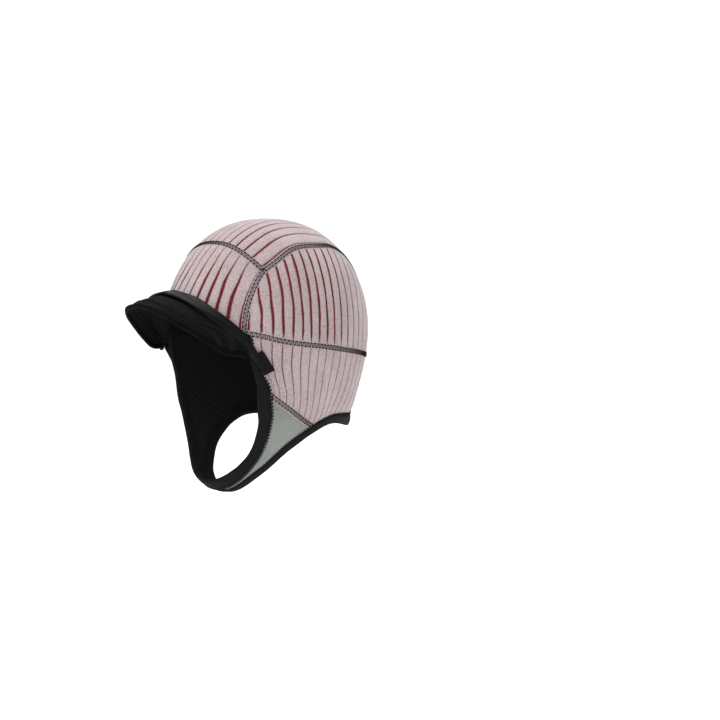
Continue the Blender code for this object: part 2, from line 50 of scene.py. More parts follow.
# Side outline and fullness: angle round the ear, share of the reach, two exponents of the arch.
FORM_ROWS = (
    (0, 1.00, 2.15, 2.15), (25, 1.02, 2.20, 2.20), (50, 1.035, 2.30, 2.30),
    (70, 1.02, 2.35, 2.35), (90, 1.00, 2.35, 2.35), (110, 1.00, 2.35, 2.35),
    (130, 1.00, 2.30, 2.30), (155, 1.00, 2.20, 2.20), (180, 0.98, 2.10, 2.10),
    (205, 0.95, 2.05, 2.05), (216, 0.95, 2.02, 2.02), (228, 0.965, 1.98, 1.98),
    (250, 0.90, 1.80, 1.97), (270, 0.97, 1.62, 1.97), (282, 1.06, 1.52, 1.98),
    (292, 1.155, 1.48, 2.00), (300, 1.205, 1.50, 2.02), (315, 1.16, 1.70, 1.97),
    (335, 1.04, 1.90, 2.00),
)
# Half width of the middle of the crown: angle, share of the half width.
LONG_SEAM_ROWS = (
    (10, 0.690), (25, 0.690), (38, 0.697), (51.5, 0.703), (57, 0.718), (64, 0.724),
    (78, 0.708), (98, 0.690), (109, 0.640), (118, 0.595), (128, 0.540), (140, 0.480),
    (155, 0.405), (172, 0.345), (191.5, 0.300),
)
# Seam over the ear: place behind the ear and drop below it.
EAR_SEAM_ROWS = (
    (-0.80, -0.105), (-0.64, -0.080), (-0.48, -0.045), (-0.28, -0.017), (-0.06, 0.005),
    (0.20, 0.037), (0.46, 0.070), (0.76, 0.112), (0.98, 0.135),
)
# Seam over the chin flap, as the seam over the ear.
CHEEK_SEAM_ROWS = (
    (-0.535, 0.314), (-0.44, 0.364), (-0.295, 0.432), (-0.148, 0.496), (-0.019, 0.542),
)
# Face band: angle and share of its free edge, then of its sewn edge.
FACE_BAND_ROWS = (
    (370.0, 0.764, 369.2, 0.715), (357.0, 0.725, 354.0, 0.682), (342.0, 0.680, 339.0, 0.618),
    (328.5, 0.652, 325.0, 0.556), (315.5, 0.659, 311.0, 0.563), (310.5, 0.672, 305.0, 0.602),
    (305.5, 0.722, 300.5, 0.668), (302.5, 0.786, 297.5, 0.760), (301.5, 0.865, 296.3, 0.855),
    (301.5, 0.930, 296.0, 0.930), (301.5, 1.000, 296.2, 1.000),
)
# Neck band: angle and share of its sewn edge, then of its free edge.
NECK_BAND_ROWS = (
    (294.0, 1.000, 290.2, 1.000), (293.9, 0.935, 289.9, 0.945), (293.4, 0.875, 289.2, 0.893),
    (291.5, 0.802, 287.4, 0.834), (288.8, 0.710, 284.2, 0.752), (285.0, 0.646, 279.5, 0.696),
    (278.0, 0.598, 271.2, 0.652), (268.0, 0.569, 262.4, 0.648), (258.0, 0.586, 254.5, 0.676),
    (247.0, 0.640, 246.3, 0.735), (237.0, 0.722, 239.0, 0.812), (228.0, 0.851, 232.0, 0.905),
    (222.3, 0.940, 228.4, 0.968), (219.5, 1.000, 226.8, 1.000),
)
# Brow lip: angle and width of its root, shares of its reach, fall and thickness.
LIP_ROWS = (
    (25.6, 0.000, 1.00, 0.12, 1.00), (24.0, 0.240, 0.94, 0.27, 1.00),
    (20.6, 0.420, 0.78, 0.55, 1.00), (16.5, 0.560, 0.50, 0.80, 0.95),
    (11.0, 0.670, 0.27, 0.92, 0.90), (4.0, 0.735, 0.17, 1.00, 0.80),
    (-4.0, 0.775, 0.09, 0.85, 0.65), (-13.0, 0.790, 0.04, 0.60, 0.45),
)
# Rim of the peak: shares of its half width, reach and fall.
PEAK_RIM_ROWS = (
    (0.00, 1.000, 0.00), (0.33, 0.985, 0.07), (0.52, 0.925, 0.21), (0.66, 0.840, 0.38),
    (0.80, 0.730, 0.60), (0.925, 0.600, 0.84), (1.00, 0.510, 1.00),
)
# Thickness of the cloth, and the gap left between two panels under their seam.
WALL = 0.003
SEAM_GAP = 0.0005


class Side(Enum):
    """Which side of the wearer's head a piece is on."""

    LEFT = 1
    RIGHT = -1

    @property
    def word(self) -> str:
        """The side in small letters, as the names of its pieces have it."""
        return self.name.lower()


class Direction(Enum):
    """Which way the outside of an open grid looks."""

    OUT = "out"
    UP = "up"


def smooth(rows: tuple, column: int, at: Array, period: float = 0.0) -> Array:
    """Values of one column of a table on a smooth curve through its rows.

    Args:
        rows: table with its places in the first column.
        column: column to read.
        at: places to read it at.
        period: length after which the table repeats, or 0.

    Returns:
        Array: one value for each place.
    """
    keys = np.array([row[0] for row in rows], float)
    values = np.array([row[column] for row in rows], float)
    at = np.asarray(at, float)
    if period:
        at = at % period
        keys = np.concatenate([[keys[-1] - period], keys, keys[:2] + period])
        values = np.concatenate([[values[-1]], values, values[:2]])
    if keys[0] > keys[-1]:
        keys, values = keys[::-1], values[::-1]
    at = np.clip(at, keys[0], keys[-1])
    index = np.clip(np.searchsorted(keys, at, side="left") - 1, 0, len(keys) - 2)
    span = keys[index + 1] - keys[index]
    share = (at - keys[index]) / span
    before, after = np.maximum(index - 1, 0), np.minimum(index + 2, len(keys) - 1)
    first = (values[index + 1] - values[before]) / (keys[index + 1] - keys[before]) * span
    last = (values[after] - values[index]) / (keys[after] - keys[index]) * span
    square, cube = share ** 2, share ** 3
    result = values[index] * (2 * cube - 3 * square + 1) + values[index + 1] * (3 * square - 2 * cube)
    return result + first * (cube - 2 * square + share) + last * (cube - square)


def along(rows: tuple, column: int, share: Array) -> Array:
    """Values of one column at shares of the way down a table, its rows evenly spread.

    Args:
        rows: table to read.
        column: column to read.
        share: places from 0 at the first row to 1 at the last.

    Returns:
        Array: one value for each place.
    """
    spread = tuple((index / (len(rows) - 1), row[column]) for index, row in enumerate(rows))
    return smooth(spread, 1, share)


def unit(vectors: Array) -> Array:
    """Give vectors a length of one.

    Args:
        vectors: array whose last axis is x, y and z.

    Returns:
        Array: the vectors at length one.
    """
    return vectors / np.maximum(np.linalg.norm(vectors, axis=-1, keepdims=True), 1e-12)


def ease(low: float, high: float, at: Array) -> Array:
    """Smooth step from 0 at low to 1 at high.

    Args:
        low: place where it leaves 0.
        high: place where it reaches 1.
        at: places to read.

    Returns:
        Array: values from 0 to 1.
    """
    share = np.clip((np.asarray(at, float) - low) / (high - low), 0, 1)
    return share * share * (3 - 2 * share)


@dataclass(frozen=True)
class CapForm:
    """Outer shape of the cap on the head, seen from the side round the ear."""

    half_length: float = 0.0985
    half_width: float = 0.080
    crown_height: float = 0.111
    chin_drop: float = 0.132
    ear_level: float = -0.108

    def reach(self, angle: Array) -> Array:
        """Distance from the ear axis to the centre line of the cap.

        Args:
            angle: degrees from the face, 90 is the crown.

        Returns:
            Array: distances in metres.
        """
        turn = np.radians(angle)
        rise = np.where(np.sin(turn) >= 0, self.crown_height, self.chin_drop)
        ellipse = 1 / np.hypot(np.cos(turn) / self.half_length, np.sin(turn) / rise)
        return ellipse * smooth(FORM_ROWS, 1, angle, 360)

    def fullness(self, angle: Array) -> tuple[Array, Array]:
        """Exponents of the arch at the side and at the middle.

        Args:
            angle: degrees from the face.

        Returns:
            tuple: the two exponents.
        """
        return smooth(FORM_ROWS, 2, angle, 360), smooth(FORM_ROWS, 3, angle, 360)

    def point(self, angle: Array, share: Array, side: Array) -> Array:
        """Points on the outside, at an angle and a share of the reach.

        Args:
            angle: degrees from the face.
            share: share of the reach.
            side: 1 on the wearer's left, -1 on the right.

        Returns:
            Array: points in metres.
        """
        share = np.clip(share, 0, 1)
        turn, distance = np.radians(angle), self.reach(angle) * share
        at_side, at_middle = self.fullness(angle)
        across = self.half_width * (1 - share ** at_side) ** (1 / at_middle)
        height = self.ear_level + distance * np.sin(turn)
        return np.stack(np.broadcast_arrays(side * across, -distance * np.cos(turn), height), axis=-1)

    def width_point(self, angle: Array, width: Array) -> Array:
        """Points on the outside, at an angle and a signed share of the half width.

        Args:
            angle: degrees from the face.
            width: share of the half width, positive on the wearer's left.

        Returns:
            Array: points in metres.
        """
        at_side, at_middle = self.fullness(angle)
        share = np.clip(1 - np.abs(width) ** at_middle, 0, 1) ** (1 / at_side)
        return self.point(angle, share, np.where(np.asarray(width) >= 0, 1, -1))

    def side_point(self, back: Array, drop: Array, side: Array) -> Array:
        """Points on the outside, from their places in the side view.

        Args:
            back: metres behind the ear.
            drop: metres below the ear.
            side: 1 on the wearer's left, -1 on the right.

        Returns:
            Array: points in metres.
        """
        angle = np.degrees(np.arctan2(-np.asarray(drop), -np.asarray(back))) % 360
        return self.point(angle, np.hypot(back, drop) / self.reach(angle), side)

    def outward(self, points: Array) -> Array:
        """Outward directions of the outside at points on it.

        Args:
            points: points in metres.

        Returns:
            Array: directions of length one.
        """
        back, drop = points[..., 1], self.ear_level - points[..., 2]
        side, step = np.where(points[..., 0] >= 0, 1, -1), 0.0005
        east = self.side_point(back + step, drop, side) - self.side_point(back - step, drop, side)
        up = self.side_point(back, drop - step, side) - self.side_point(back, drop + step, side)
        from_side = np.cross(up, east) * -side[..., None]
        angle = np.degrees(np.arctan2(-drop, -back))
        width = points[..., 0] / self.half_width
        round_way = self.width_point(angle + 0.4, width) - self.width_point(angle - 0.4, width)
        over = self.width_point(angle, width + 0.005) - self.width_point(angle, width - 0.005)
        near_middle = np.abs(points[..., 0]) <= 0.35 * self.half_width
        normal = unit(np.where(near_middle[..., None], np.cross(round_way, over), from_side))
        facing = np.sum(normal * (points - np.array([0, 0, self.ear_level])), axis=-1)
        return normal * np.where(facing < 0, -1, 1)[..., None]


FORM = CapForm()


@dataclass(frozen=True)
class CapCut:
    """Places of the cap's seams and of the two edges of each band."""

    front_seam_angle: float = 51.5
    front_seam_rise: float = 3.5
    back_seam_angle: float = 191.5
    back_width: float = 0.300
    temple_angle: float = 10.0
    cheek_share: float = 0.325
    flap_share: float = 6.7 / 13
    nape_share: float = 12 / 13
    brow_flare: float = 0.008
    seam_step: float = 0.18
    nape_angle: float = 222.3
    nape_seam_angle: float = 222.0
    rear_lap: float = 0.004

    def seam_share(self, angle: Array) -> Array:
        """Half width of the middle of the crown, as a share of the half width."""
        return smooth(LONG_SEAM_ROWS, 1, angle)

    def ear_drop(self, back: Array) -> Array:
        """Drop of the seam over the ear at places behind the ear."""
        return smooth(EAR_SEAM_ROWS, 1, np.asarray(back) / FORM.half_length) * FORM.chin_drop

    def rail(self, rows: tuple, share: Array, first: int, side: Array = 1) -> Array:
        """Points on one edge of a band.

        Args:
            rows: table of the band.
            share: shares of the way down the table.
            first: column of the edge's angle, its share of the reach follows.
            side: 1 on the wearer's left, -1 on the right.

        Returns:
            Array: points in metres.
        """
        return FORM.point(along(rows, first, share), along(rows, first + 1, share), side)

    def flat(self, points: Array) -> Array:
        """Places of points in the side view, behind and below the ear."""
        return np.stack([points[..., 1], FORM.ear_level - points[..., 2]], axis=-1)

    def cheek(self, share: Array) -> Array:
        """Seam over the chin flap in the side view, from face band to neck band.

        Args:
            share: shares of the way back.

        Returns:
            Array: places behind and below the ear.
        """
        scale = np.array([FORM.half_length, FORM.chin_drop])
        line = np.stack([along(CHEEK_SEAM_ROWS, 0, share), along(CHEEK_SEAM_ROWS, 1, share)], -1) * scale
        first = np.array(CHEEK_SEAM_ROWS[0]) * scale
        last = np.array(CHEEK_SEAM_ROWS[-1]) * scale
        start = self.flat(self.rail(FACE_BAND_ROWS, np.array(self.cheek_share), 2))
        end = self.flat(self.rail(NECK_BAND_ROWS, np.array(self.flap_share), 0))
        share = np.asarray(share)[..., None]
        return line + (start - first) * (1 - share) + (end - last) * share

    def brow_low(self, share: Array) -> Array:
        """Angle of the forehead hem at a share of the way out from the middle."""
        return self.temple_angle + 1.2 + 11.5 * (1 - np.abs(share) ** 2)

    def nape_width(self) -> float:
        """Half width of the nape panel at its hem, as a share of the half width."""
        return self.rail(NECK_BAND_ROWS, np.array(self.nape_share), 0)[0] / FORM.half_width


CUT = CapCut()


class Wiring:
    """Short helpers for laying out shader nodes in one tree."""

    def __init__(self, tree: bpy.types.NodeTree) -> None:
        """Keep the tree that the nodes go into."""
        self.tree = tree

    def add(self, kind: str, **values: object) -> Node:
        """Add a node and set its own properties.

        Args:
            kind: Blender's name of the node.
            values: properties of the node.

        Returns:
            Node: the new node.
        """
        node = self.tree.nodes.new(kind)
        for name, value in values.items():
            setattr(node, name, value)
        return node

    def feed(self, target: Socket, source: object) -> None:
        """Link a socket to an input, or set the input's value.

        Args:
            target: the input.
            source: socket or value.
        """
        if isinstance(source, bpy.types.NodeSocket):
            self.tree.links.new(source, target)
        else:
            target.default_value = source

    def maths(self, operation: str, *sources: object, clamp: bool = False) -> Socket:
        """Add one step of arithmetic.

        Args:
            operation: Blender's name of the operation.
            sources: sockets or numbers.
            clamp: keep the result from 0 to 1.

        Returns:
            Socket: the result.
        """
        node = self.add("ShaderNodeMath", operation=operation, use_clamp=clamp)
        for target, source in zip(node.inputs, sources):
            self.feed(target, source)
        return node.outputs[0]

    def band(self, value: object, low: object, high: object) -> Socket:
        """Smooth step of a value from 0 at low to 1 at high.

        Args:
            value: socket or number to read.
            low: place where it leaves 0.
            high: place where it reaches 1.

        Returns:
            Socket: mask from 0 to 1.
        """
        node = self.add("ShaderNodeMapRange", interpolation_type="SMOOTHSTEP")
        for name, source in (("Value", value), ("From Min", low), ("From Max", high)):
            self.feed(node.inputs[name], source)
        return node.outputs[0]

    def blend(self, share: object, first: object, second: object) -> Socket:
        """Mix two colours.

        Args:
            share: 0 gives the first, 1 the second.
            first: colour or socket.
            second: colour or socket.

        Returns:
            Socket: the mixed colour.
        """
        node = self.add("ShaderNodeMix", data_type="RGBA")
        colours = [s for s in node.inputs if s.type == "RGBA"]
        self.feed(node.inputs[0], share)
        self.feed(colours[0], first)
        self.feed(colours[1], second)
        return [s for s in node.outputs if s.type == "RGBA"][0]

    def noise(self, place: Socket, scale: object, detail: float = 2.0, rough: float = 0.5) -> Socket:
        """Cloudy noise on a place.

        Args:
            place: vector socket.
            scale: features to the metre.
            detail: octaves.
            rough: strength of the small octaves.

        Returns:
            Socket: values from 0 to 1.
        """
        node = self.add("ShaderNodeTexNoise")
        self.feed(node.inputs["Vector"], place)
        self.feed(node.inputs["Scale"], scale)
        node.inputs["Detail"].default_value = detail
        node.inputs["Roughness"].default_value = rough
        return node.outputs[0]

    def cells(self, place: Socket, scale: object) -> Socket:
        """Distances inside small cells.

        Args:
            place: vector socket.
            scale: cells to the metre.

        Returns:
            Socket: distances in cells.
        """
        node = self.add("ShaderNodeTexVoronoi")
        self.feed(node.inputs["Vector"], place)
        self.feed(node.inputs["Scale"], scale)
        return node.outputs["Distance"]

    def place(self) -> Socket:
        """Position on the object, in metres."""
        return self.add("ShaderNodeTexCoord").outputs["Object"]

    def cut_places(self) -> tuple[Socket, Socket]:
        """The two places on the cut pattern, from the mesh's own map.

        Returns:
            tuple: places along and across.
        """
        split = self.add("ShaderNodeSeparateXYZ")
        self.feed(split.inputs[0], self.add("ShaderNodeUVMap", uv_map="cut").outputs[0])
        return split.outputs[0], split.outputs[1]

    def reading(self, name: str) -> Socket:
        """A value that the mesh carries at each point."""
        return self.add("ShaderNodeAttribute", attribute_name=name).outputs["Fac"]


@dataclass
class Effect:
    """One surface effect, kept as a shader group and placed in each finish with its own values."""

    name: str
    inputs: tuple
    outputs: tuple
    wire: Callable[[Wiring, Node, Node], None]
    tree: Optional[bpy.types.NodeTree] = None

    def group(self) -> bpy.types.NodeTree:
        """Make the group the first time it is asked for.

        Returns:
            NodeTree: the effect's group.
        """
        if self.tree is None:
            self.tree = bpy.data.node_groups.new(self.name, "ShaderNodeTree")
            for direction, sockets in (("INPUT", self.inputs), ("OUTPUT", self.outputs)):
                for name, kind in sockets:
                    self.tree.interface.new_socket(name, in_out=direction, socket_type="NodeSocket" + kind)
            wiring = Wiring(self.tree)
            self.wire(wiring, wiring.add("NodeGroupInput"), wiring.add("NodeGroupOutput"))
        return self.tree

    def put(self, wiring: Wiring, **values: object) -> Node:
        """Place the effect in a material.

        Args:
            wiring: the material's nodes.
            values: inputs by name, with _ for a space.

        Returns:
            Node: the placed group.
        """
        node = wiring.add("ShaderNodeGroup", node_tree=self.group())
        for name, value in values.items():
            wiring.feed(node.inputs[name.replace("_", " ")], value)
        return node


def wire_heather(w: Wiring, given: Node, result: Node) -> None:
    """Short flecks of light and dark pile over a base colour.

    Args:
        w: the group's nodes.
        given: node with the group's inputs.
        result: node with the group's outputs.
    """
    place, scale = given.outputs["Place"], given.outputs["Scale"]
    fleck = w.cells(place, scale)
    cloud = w.noise(place, w.maths("MULTIPLY", scale, 0.85), 3.0, 0.65)
    broad = w.noise(place, 26.0, 2.0)
    dark = w.band(cloud, 0.53, 0.66)
    light = w.band(cloud, 0.47, 0.33)
    colour = w.blend(w.maths("MULTIPLY", dark, given.outputs["Contrast"]), given.outputs["Base"],
                     given.outputs["Dark"])
    colour = w.blend(w.maths("MULTIPLY", light, given.outputs["Contrast"]), colour, given.outputs["Light"])
    colour = w.blend(w.maths("MULTIPLY", w.band(broad, 0.35, 0.75), 0.22), colour, given.outputs["Light"])
    w.feed(result.inputs["Colour"], colour)
    height = w.maths("ADD", w.maths("MULTIPLY", cloud, 0.6), w.maths("MULTIPLY", fleck, 0.4))
    w.feed(result.inputs["Height"], height)


def wire_ribs(w: Wiring, given: Node, result: Node) -> None:
    """Open groove between two ribs, wider where the cloth is pulled apart.

    Args:
        w: the group's nodes.
        given: node with the group's inputs.
        result: node with the group's outputs.
    """
    rib = given.outputs["Rib"]
    wobble = w.noise(given.outputs["Place"], 480.0, 3.0)
    slow = w.noise(given.outputs["Place"], 42.0, 1.0)
    away = w.maths("ABSOLUTE", w.maths("SUBTRACT", w.maths("FRACT", w.maths("ADD", rib, 0.5)), 0.5))
    far = w.maths("MULTIPLY", away, given.outputs["Pitch"])
    spread = w.maths("MULTIPLY", given.outputs["Open"], w.maths("ADD", w.maths("MULTIPLY", slow, 0.9), 0.55))
    half = w.maths("ADD", given.outputs["Closed"], w.maths("MULTIPLY", spread, given.outputs["Widest"]))
    half = w.maths("ADD", half, w.maths("MULTIPLY", w.maths("SUBTRACT", wobble, 0.5), 0.00080))
    outside, inside = w.maths("ADD", half, 0.00022), w.maths("SUBTRACT", half, 0.00016)
    w.feed(result.inputs["Line"], w.band(far, outside, inside))
    w.feed(result.inputs["Shade"], w.band(far, w.maths("ADD", half, 0.0012), half))


def wire_knit(w: Wiring, given: Node, result: Node) -> None:
    """Fine upright knit ribs with small loops.

    Args:
        w: the group's nodes.
        given: node with the group's inputs.
        result: node with the group's outputs.
    """
    step = w.maths("MULTIPLY", given.outputs["Along"], given.outputs["Ribs"])
    wave = w.maths("SINE", w.maths("MULTIPLY", step, 6.2832))
    loop = w.maths("SINE", w.maths("MULTIPLY", w.maths("MULTIPLY", given.outputs["Across"],
                                                       given.outputs["Ribs"]), 9.5))
    fuzz = w.noise(given.outputs["Place"], 1500.0, 3.0, 0.7)
    weave = w.maths("ADD", w.maths("MULTIPLY", wave, 0.32), w.maths("MULTIPLY", loop, 0.14))
    height = w.maths("ADD", weave, w.maths("MULTIPLY", fuzz, 0.5))
    w.feed(result.inputs["Height"], height)
    lit = w.maths("MULTIPLY", w.maths("ADD", height, 0.3), 0.8, clamp=True)
    w.feed(result.inputs["Colour"], w.blend(lit, given.outputs["Dark"], given.outputs["Light"]))


def wire_grain(w: Wiring, given: Node, result: Node) -> None:
    """Soft creases and fine specks of closed-cell rubber skin, with broad lighter patches of painted sheen.

    Args:
        w: the group's nodes.
        given: node with the group's inputs.
        result: node with the group's outputs.
    """
    place = given.outputs["Place"]
    crease = w.noise(place, 160.0, 4.0, 0.6)
    fine = w.cells(place, 1900.0)
    broad = w.noise(place, 34.0, 2.0)
    w.feed(result.inputs["Height"], w.maths("ADD", w.maths("MULTIPLY", crease, 0.7),
                                            w.maths("MULTIPLY", fine, 0.15)))
    # Painted sheen: broad noise patches blend the dark colour toward the light one.
    wear = w.maths("MULTIPLY", w.band(broad, 0.4, 0.8), given.outputs["Wear"])
    w.feed(result.inputs["Colour"], w.blend(wear, given.outputs["Dark"], given.outputs["Light"]))
    rough = w.maths("ADD", given.outputs["Gloss"], w.maths("MULTIPLY", crease, 0.16))
    w.feed(result.inputs["Roughness"], rough)


def wire_mesh(w: Wiring, given: Node, result: Node) -> None:
    """Coarse open mesh in staggered rows of small holes.

    Args:
        w: the group's nodes.
        given: node with the group's inputs.
        result: node with the group's outputs.
    """
    along_it = w.maths("MULTIPLY", given.outputs["Along"], given.outputs["Holes"])
    across = w.maths("MULTIPLY", given.outputs["Across"], w.maths("MULTIPLY", given.outputs["Holes"], 1.15))
    row = w.maths("FLOOR", across)
    shift = w.maths("FRACT", w.maths("MULTIPLY", row, 0.5))
    east = w.maths("SUBTRACT", w.maths("FRACT", w.maths("ADD", along_it, shift)), 0.5)
    north = w.maths("SUBTRACT", w.maths("FRACT", across), 0.5)
    far = w.maths("SQRT", w.maths("ADD", w.maths("MULTIPLY", east, east), w.maths("MULTIPLY", north, north)))
    hole = w.band(far, 0.38, 0.22)
    fuzz = w.noise(given.outputs["Place"], 1700.0, 2.0)
    w.feed(result.inputs["Hole"], hole)
    w.feed(result.inputs["Height"], w.maths("SUBTRACT", w.maths("MULTIPLY", fuzz, 0.35), hole))


def wire_yarn(w: Wiring, given: Node, result: Node) -> None:
    """Twisted sewing yarn.

    Args:
        w: the group's nodes.
        given: node with the group's inputs.
        result: node with the group's outputs.
    """
    turn = w.maths("ADD", given.outputs["Along"], given.outputs["Across"])
    ply = w.maths("SINE", w.maths("MULTIPLY", turn, 6.2832))
    fuzz = w.noise(given.outputs["Place"], 2600.0, 2.0)
    height = w.maths("ADD", w.maths("MULTIPLY", ply, 0.4), w.maths("MULTIPLY", fuzz, 0.5))
    w.feed(result.inputs["Height"], height)
    # Lighter on the raised ply and darker between: painted highlight and shade of the twist; the fuzz noise
    # adds random tone.
    w.feed(result.inputs["Colour"], w.blend(w.maths("ADD", height, 0.2, clamp=True), given.outputs["Dark"],
                                            given.outputs["Light"]))


HEATHER = Effect("heather", (("Place", "Vector"), ("Scale", "Float"), ("Contrast", "Float"),
                             ("Base", "Color"), ("Dark", "Color"), ("Light", "Color")),
                 (("Colour", "Color"), ("Height", "Float")), wire_heather)
RIBS = Effect("open_ribs", (("Place", "Vector"), ("Rib", "Float"), ("Open", "Float"), ("Pitch", "Float"),
                            ("Closed", "Float"), ("Widest", "Float")),
              (("Line", "Float"), ("Shade", "Float")), wire_ribs)
KNIT = Effect("knit", (("Place", "Vector"), ("Along", "Float"), ("Across", "Float"), ("Ribs", "Float"),
                       ("Dark", "Color"), ("Light", "Color")),
              (("Colour", "Color"), ("Height", "Float")), wire_knit)
GRAIN = Effect("rubber_grain", (("Place", "Vector"), ("Dark", "Color"), ("Light", "Color"),
                                ("Wear", "Float"), ("Gloss", "Float")),
               (("Colour", "Color"), ("Height", "Float"), ("Roughness", "Float")), wire_grain)
MESH = Effect("open_mesh", (("Place", "Vector"), ("Along", "Float"), ("Across", "Float"),
                            ("Holes", "Float")),
              (("Hole", "Float"), ("Height", "Float")), wire_mesh)
YARN = Effect("yarn", (("Place", "Vector"), ("Along", "Float"), ("Across", "Float"), ("Dark", "Color"),
                       ("Light", "Color")),
              (("Colour", "Color"), ("Height", "Float")), wire_yarn)


def paint(red: float, green: float, blue: float) -> tuple[float, float, float, float]:
    """Turn a display colour from 0 to 255 into a linear shader colour.

    Args:
        red: display red.
        green: display green.
        blue: display blue.

    Returns:
        tuple: linear red, green, blue and alpha.
    """
    shares = [value / 255 for value in (red, green, blue)]
    linear = [s / 12.92 if s <= 0.04045 else ((s + 0.055) / 1.055) ** 2.4 for s in shares]
    return (linear[0], linear[1], linear[2], 1.0)


@dataclass(frozen=True)
class Finish:
    """A material with its shader's constant values; each kind adds its own effects."""

    name: str
    roughness: float = 0.9
    sheen: float = 0.0
    specular: float = 0.4
    bump: float = 0.5
    depth: float = 0.0004

    def make(self) -> bpy.types.Material:
        """Make the material, or return the one made before.

        Returns:
            Material: the finish.
        """
        found = bpy.data.materials.get(self.name)
        if found:
            return found
        material = bpy.data.materials.new(self.name)
        material.use_nodes = True
        wiring = Wiring(material.node_tree)
        shader = material.node_tree.nodes["Principled BSDF"]
        shader.inputs["Roughness"].default_value = self.roughness
        shader.inputs["Sheen Weight"].default_value = self.sheen
        shader.inputs["Sheen Roughness"].default_value = 0.45
        shader.inputs["Specular IOR Level"].default_value = self.specular
        colour, height = self.effects(wiring, shader)
        wiring.feed(shader.inputs["Base Color"], colour)
        relief = wiring.add("ShaderNodeBump")
        relief.inputs["Strength"].default_value = self.bump
        relief.inputs["Distance"].default_value = self.depth
        wiring.feed(relief.inputs["Height"], height)
        wiring.feed(shader.inputs["Normal"], relief.outputs[0])
        return material

    def effects(self, w: Wiring, shader: Node) -> tuple[object, object]:
        """Colour and height of the surface; each kind of finish has its own."""
        raise NotImplementedError


@dataclass(frozen=True)
class HeatherCloth(Finish):
    """Flecked jersey face of the neoprene, with open grooves between its ribs where it is ribbed."""

    base: tuple = paint(164, 147, 148)
    dark: tuple = paint(112, 90, 93)
    light: tuple = paint(206, 194, 195)
    line: tuple = paint(98, 20, 25)
    thin_line: tuple = paint(100, 56, 60)
    ribbed: bool = True
    scale: float = 1600.0
    contrast: float = 0.95
    closed: float = 0.00012
    widest: float = 0.00128

    def effects(self, w: Wiring, shader: Node) -> tuple[object, object]:
        """Flecks, and the grooves where the cloth is ribbed.

        Args:
            w: the material's nodes.
            shader: the material's shader.

        Returns:
            tuple: colour and height.
        """
        place = w.place()
        fleck = HEATHER.put(w, Place=place, Scale=self.scale, Contrast=self.contrast, Base=self.base,
                            Dark=self.dark, Light=self.light)
        if not self.ribbed:
            return fleck.outputs["Colour"], fleck.outputs["Height"]
        rib, _ = w.cut_places()
        opened = w.reading("open")
        groove = RIBS.put(w, Place=place, Rib=rib, Open=opened, Pitch=RIBBING.pitch,
                          Closed=self.closed, Widest=self.widest)
        inside = w.blend(w.band(opened, 0.05, 0.40), self.thin_line, self.line)
        shaded = w.blend(w.maths("MULTIPLY", groove.outputs["Shade"], 0.30), fleck.outputs["Colour"],
                         self.dark)
        colour = w.blend(groove.outputs["Line"], shaded, inside)
        height = w.maths("SUBTRACT", fleck.outputs["Height"],
                         w.maths("MULTIPLY", groove.outputs["Line"], 0.6))
        return colour, height


@dataclass(frozen=True)
class KnitCloth(Finish):
    """Black knit of the bands, the lining and the pull tabs."""

    dark: tuple = paint(16, 16, 17)
    light: tuple = paint(44, 44, 46)
    ribs: float = 700.0

    def effects(self, w: Wiring, shader: Node) -> tuple[object, object]:
        """Knit ribs along the piece.

        Args:
            w: the material's nodes.
            shader: the material's shader.

        Returns:
            tuple: colour and height.
        """
        along_it, across = w.cut_places()
        knit = KNIT.put(w, Place=w.place(), Along=along_it, Across=across, Ribs=self.ribs, Dark=self.dark,
                        Light=self.light)
        return knit.outputs["Colour"], knit.outputs["Height"]


@dataclass(frozen=True)
class RubberSkin(Finish):
    """Smooth black skin of the brow lip and the bound rim."""

    dark: tuple = paint(26, 26, 28)
    # The light colour is the painted sheen; the value below sets how far its broad patches blend toward it.
    light: tuple = paint(52, 52, 54)
    wear: float = 0.5
    gloss: float = 0.30

    def effects(self, w: Wiring, shader: Node) -> tuple[object, object]:
        """Creases and broad lighter patches of painted sheen, with an uneven gloss.

        Args:
            w: the material's nodes.
            shader: the material's shader.

        Returns:
            tuple: colour and height.
        """
        grain = GRAIN.put(w, Place=w.place(), Dark=self.dark, Light=self.light, Wear=self.wear,
                          Gloss=self.gloss)
        w.feed(shader.inputs["Roughness"], grain.outputs["Roughness"])
        return grain.outputs["Colour"], grain.outputs["Height"]


@dataclass(frozen=True)
class OpenMesh(Finish):
    """Coarse mesh over black foam, on the top of the peak."""

    thread: tuple = paint(22, 22, 23)
    # hole: black foam seen through the mesh, darkened further by painted shade in the holes.
    hole: tuple = paint(3, 3, 3)
    holes: float = 620.0

    def effects(self, w: Wiring, shader: Node) -> tuple[object, object]:
        """Rows of small holes.

        Args:
            w: the material's nodes.
            shader: the material's shader.

        Returns:
            tuple: colour and height.
        """
        along_it, across = w.cut_places()
        net = MESH.put(w, Place=w.place(), Along=along_it, Across=across, Holes=self.holes)
        # The holes take the foam's black with painted shade inside them.
        return w.blend(net.outputs["Hole"], self.thread, self.hole), net.outputs["Height"]


@dataclass(frozen=True)
class SewingYarn(Finish):
    """Sewing thread of the seams."""

    dark: tuple = paint(8, 8, 8)
    light: tuple = paint(36, 36, 37)

    def effects(self, w: Wiring, shader: Node) -> tuple[object, object]:
        """Twist of the yarn.

        Args:
            w: the material's nodes.
            shader: the material's shader.

        Returns:
            tuple: colour and height.
        """
        along_it, across = w.cut_places()
        yarn = YARN.put(w, Place=w.place(), Along=along_it, Across=across, Dark=self.dark,
                        Light=self.light)
        return yarn.outputs["Colour"], yarn.outputs["Height"]


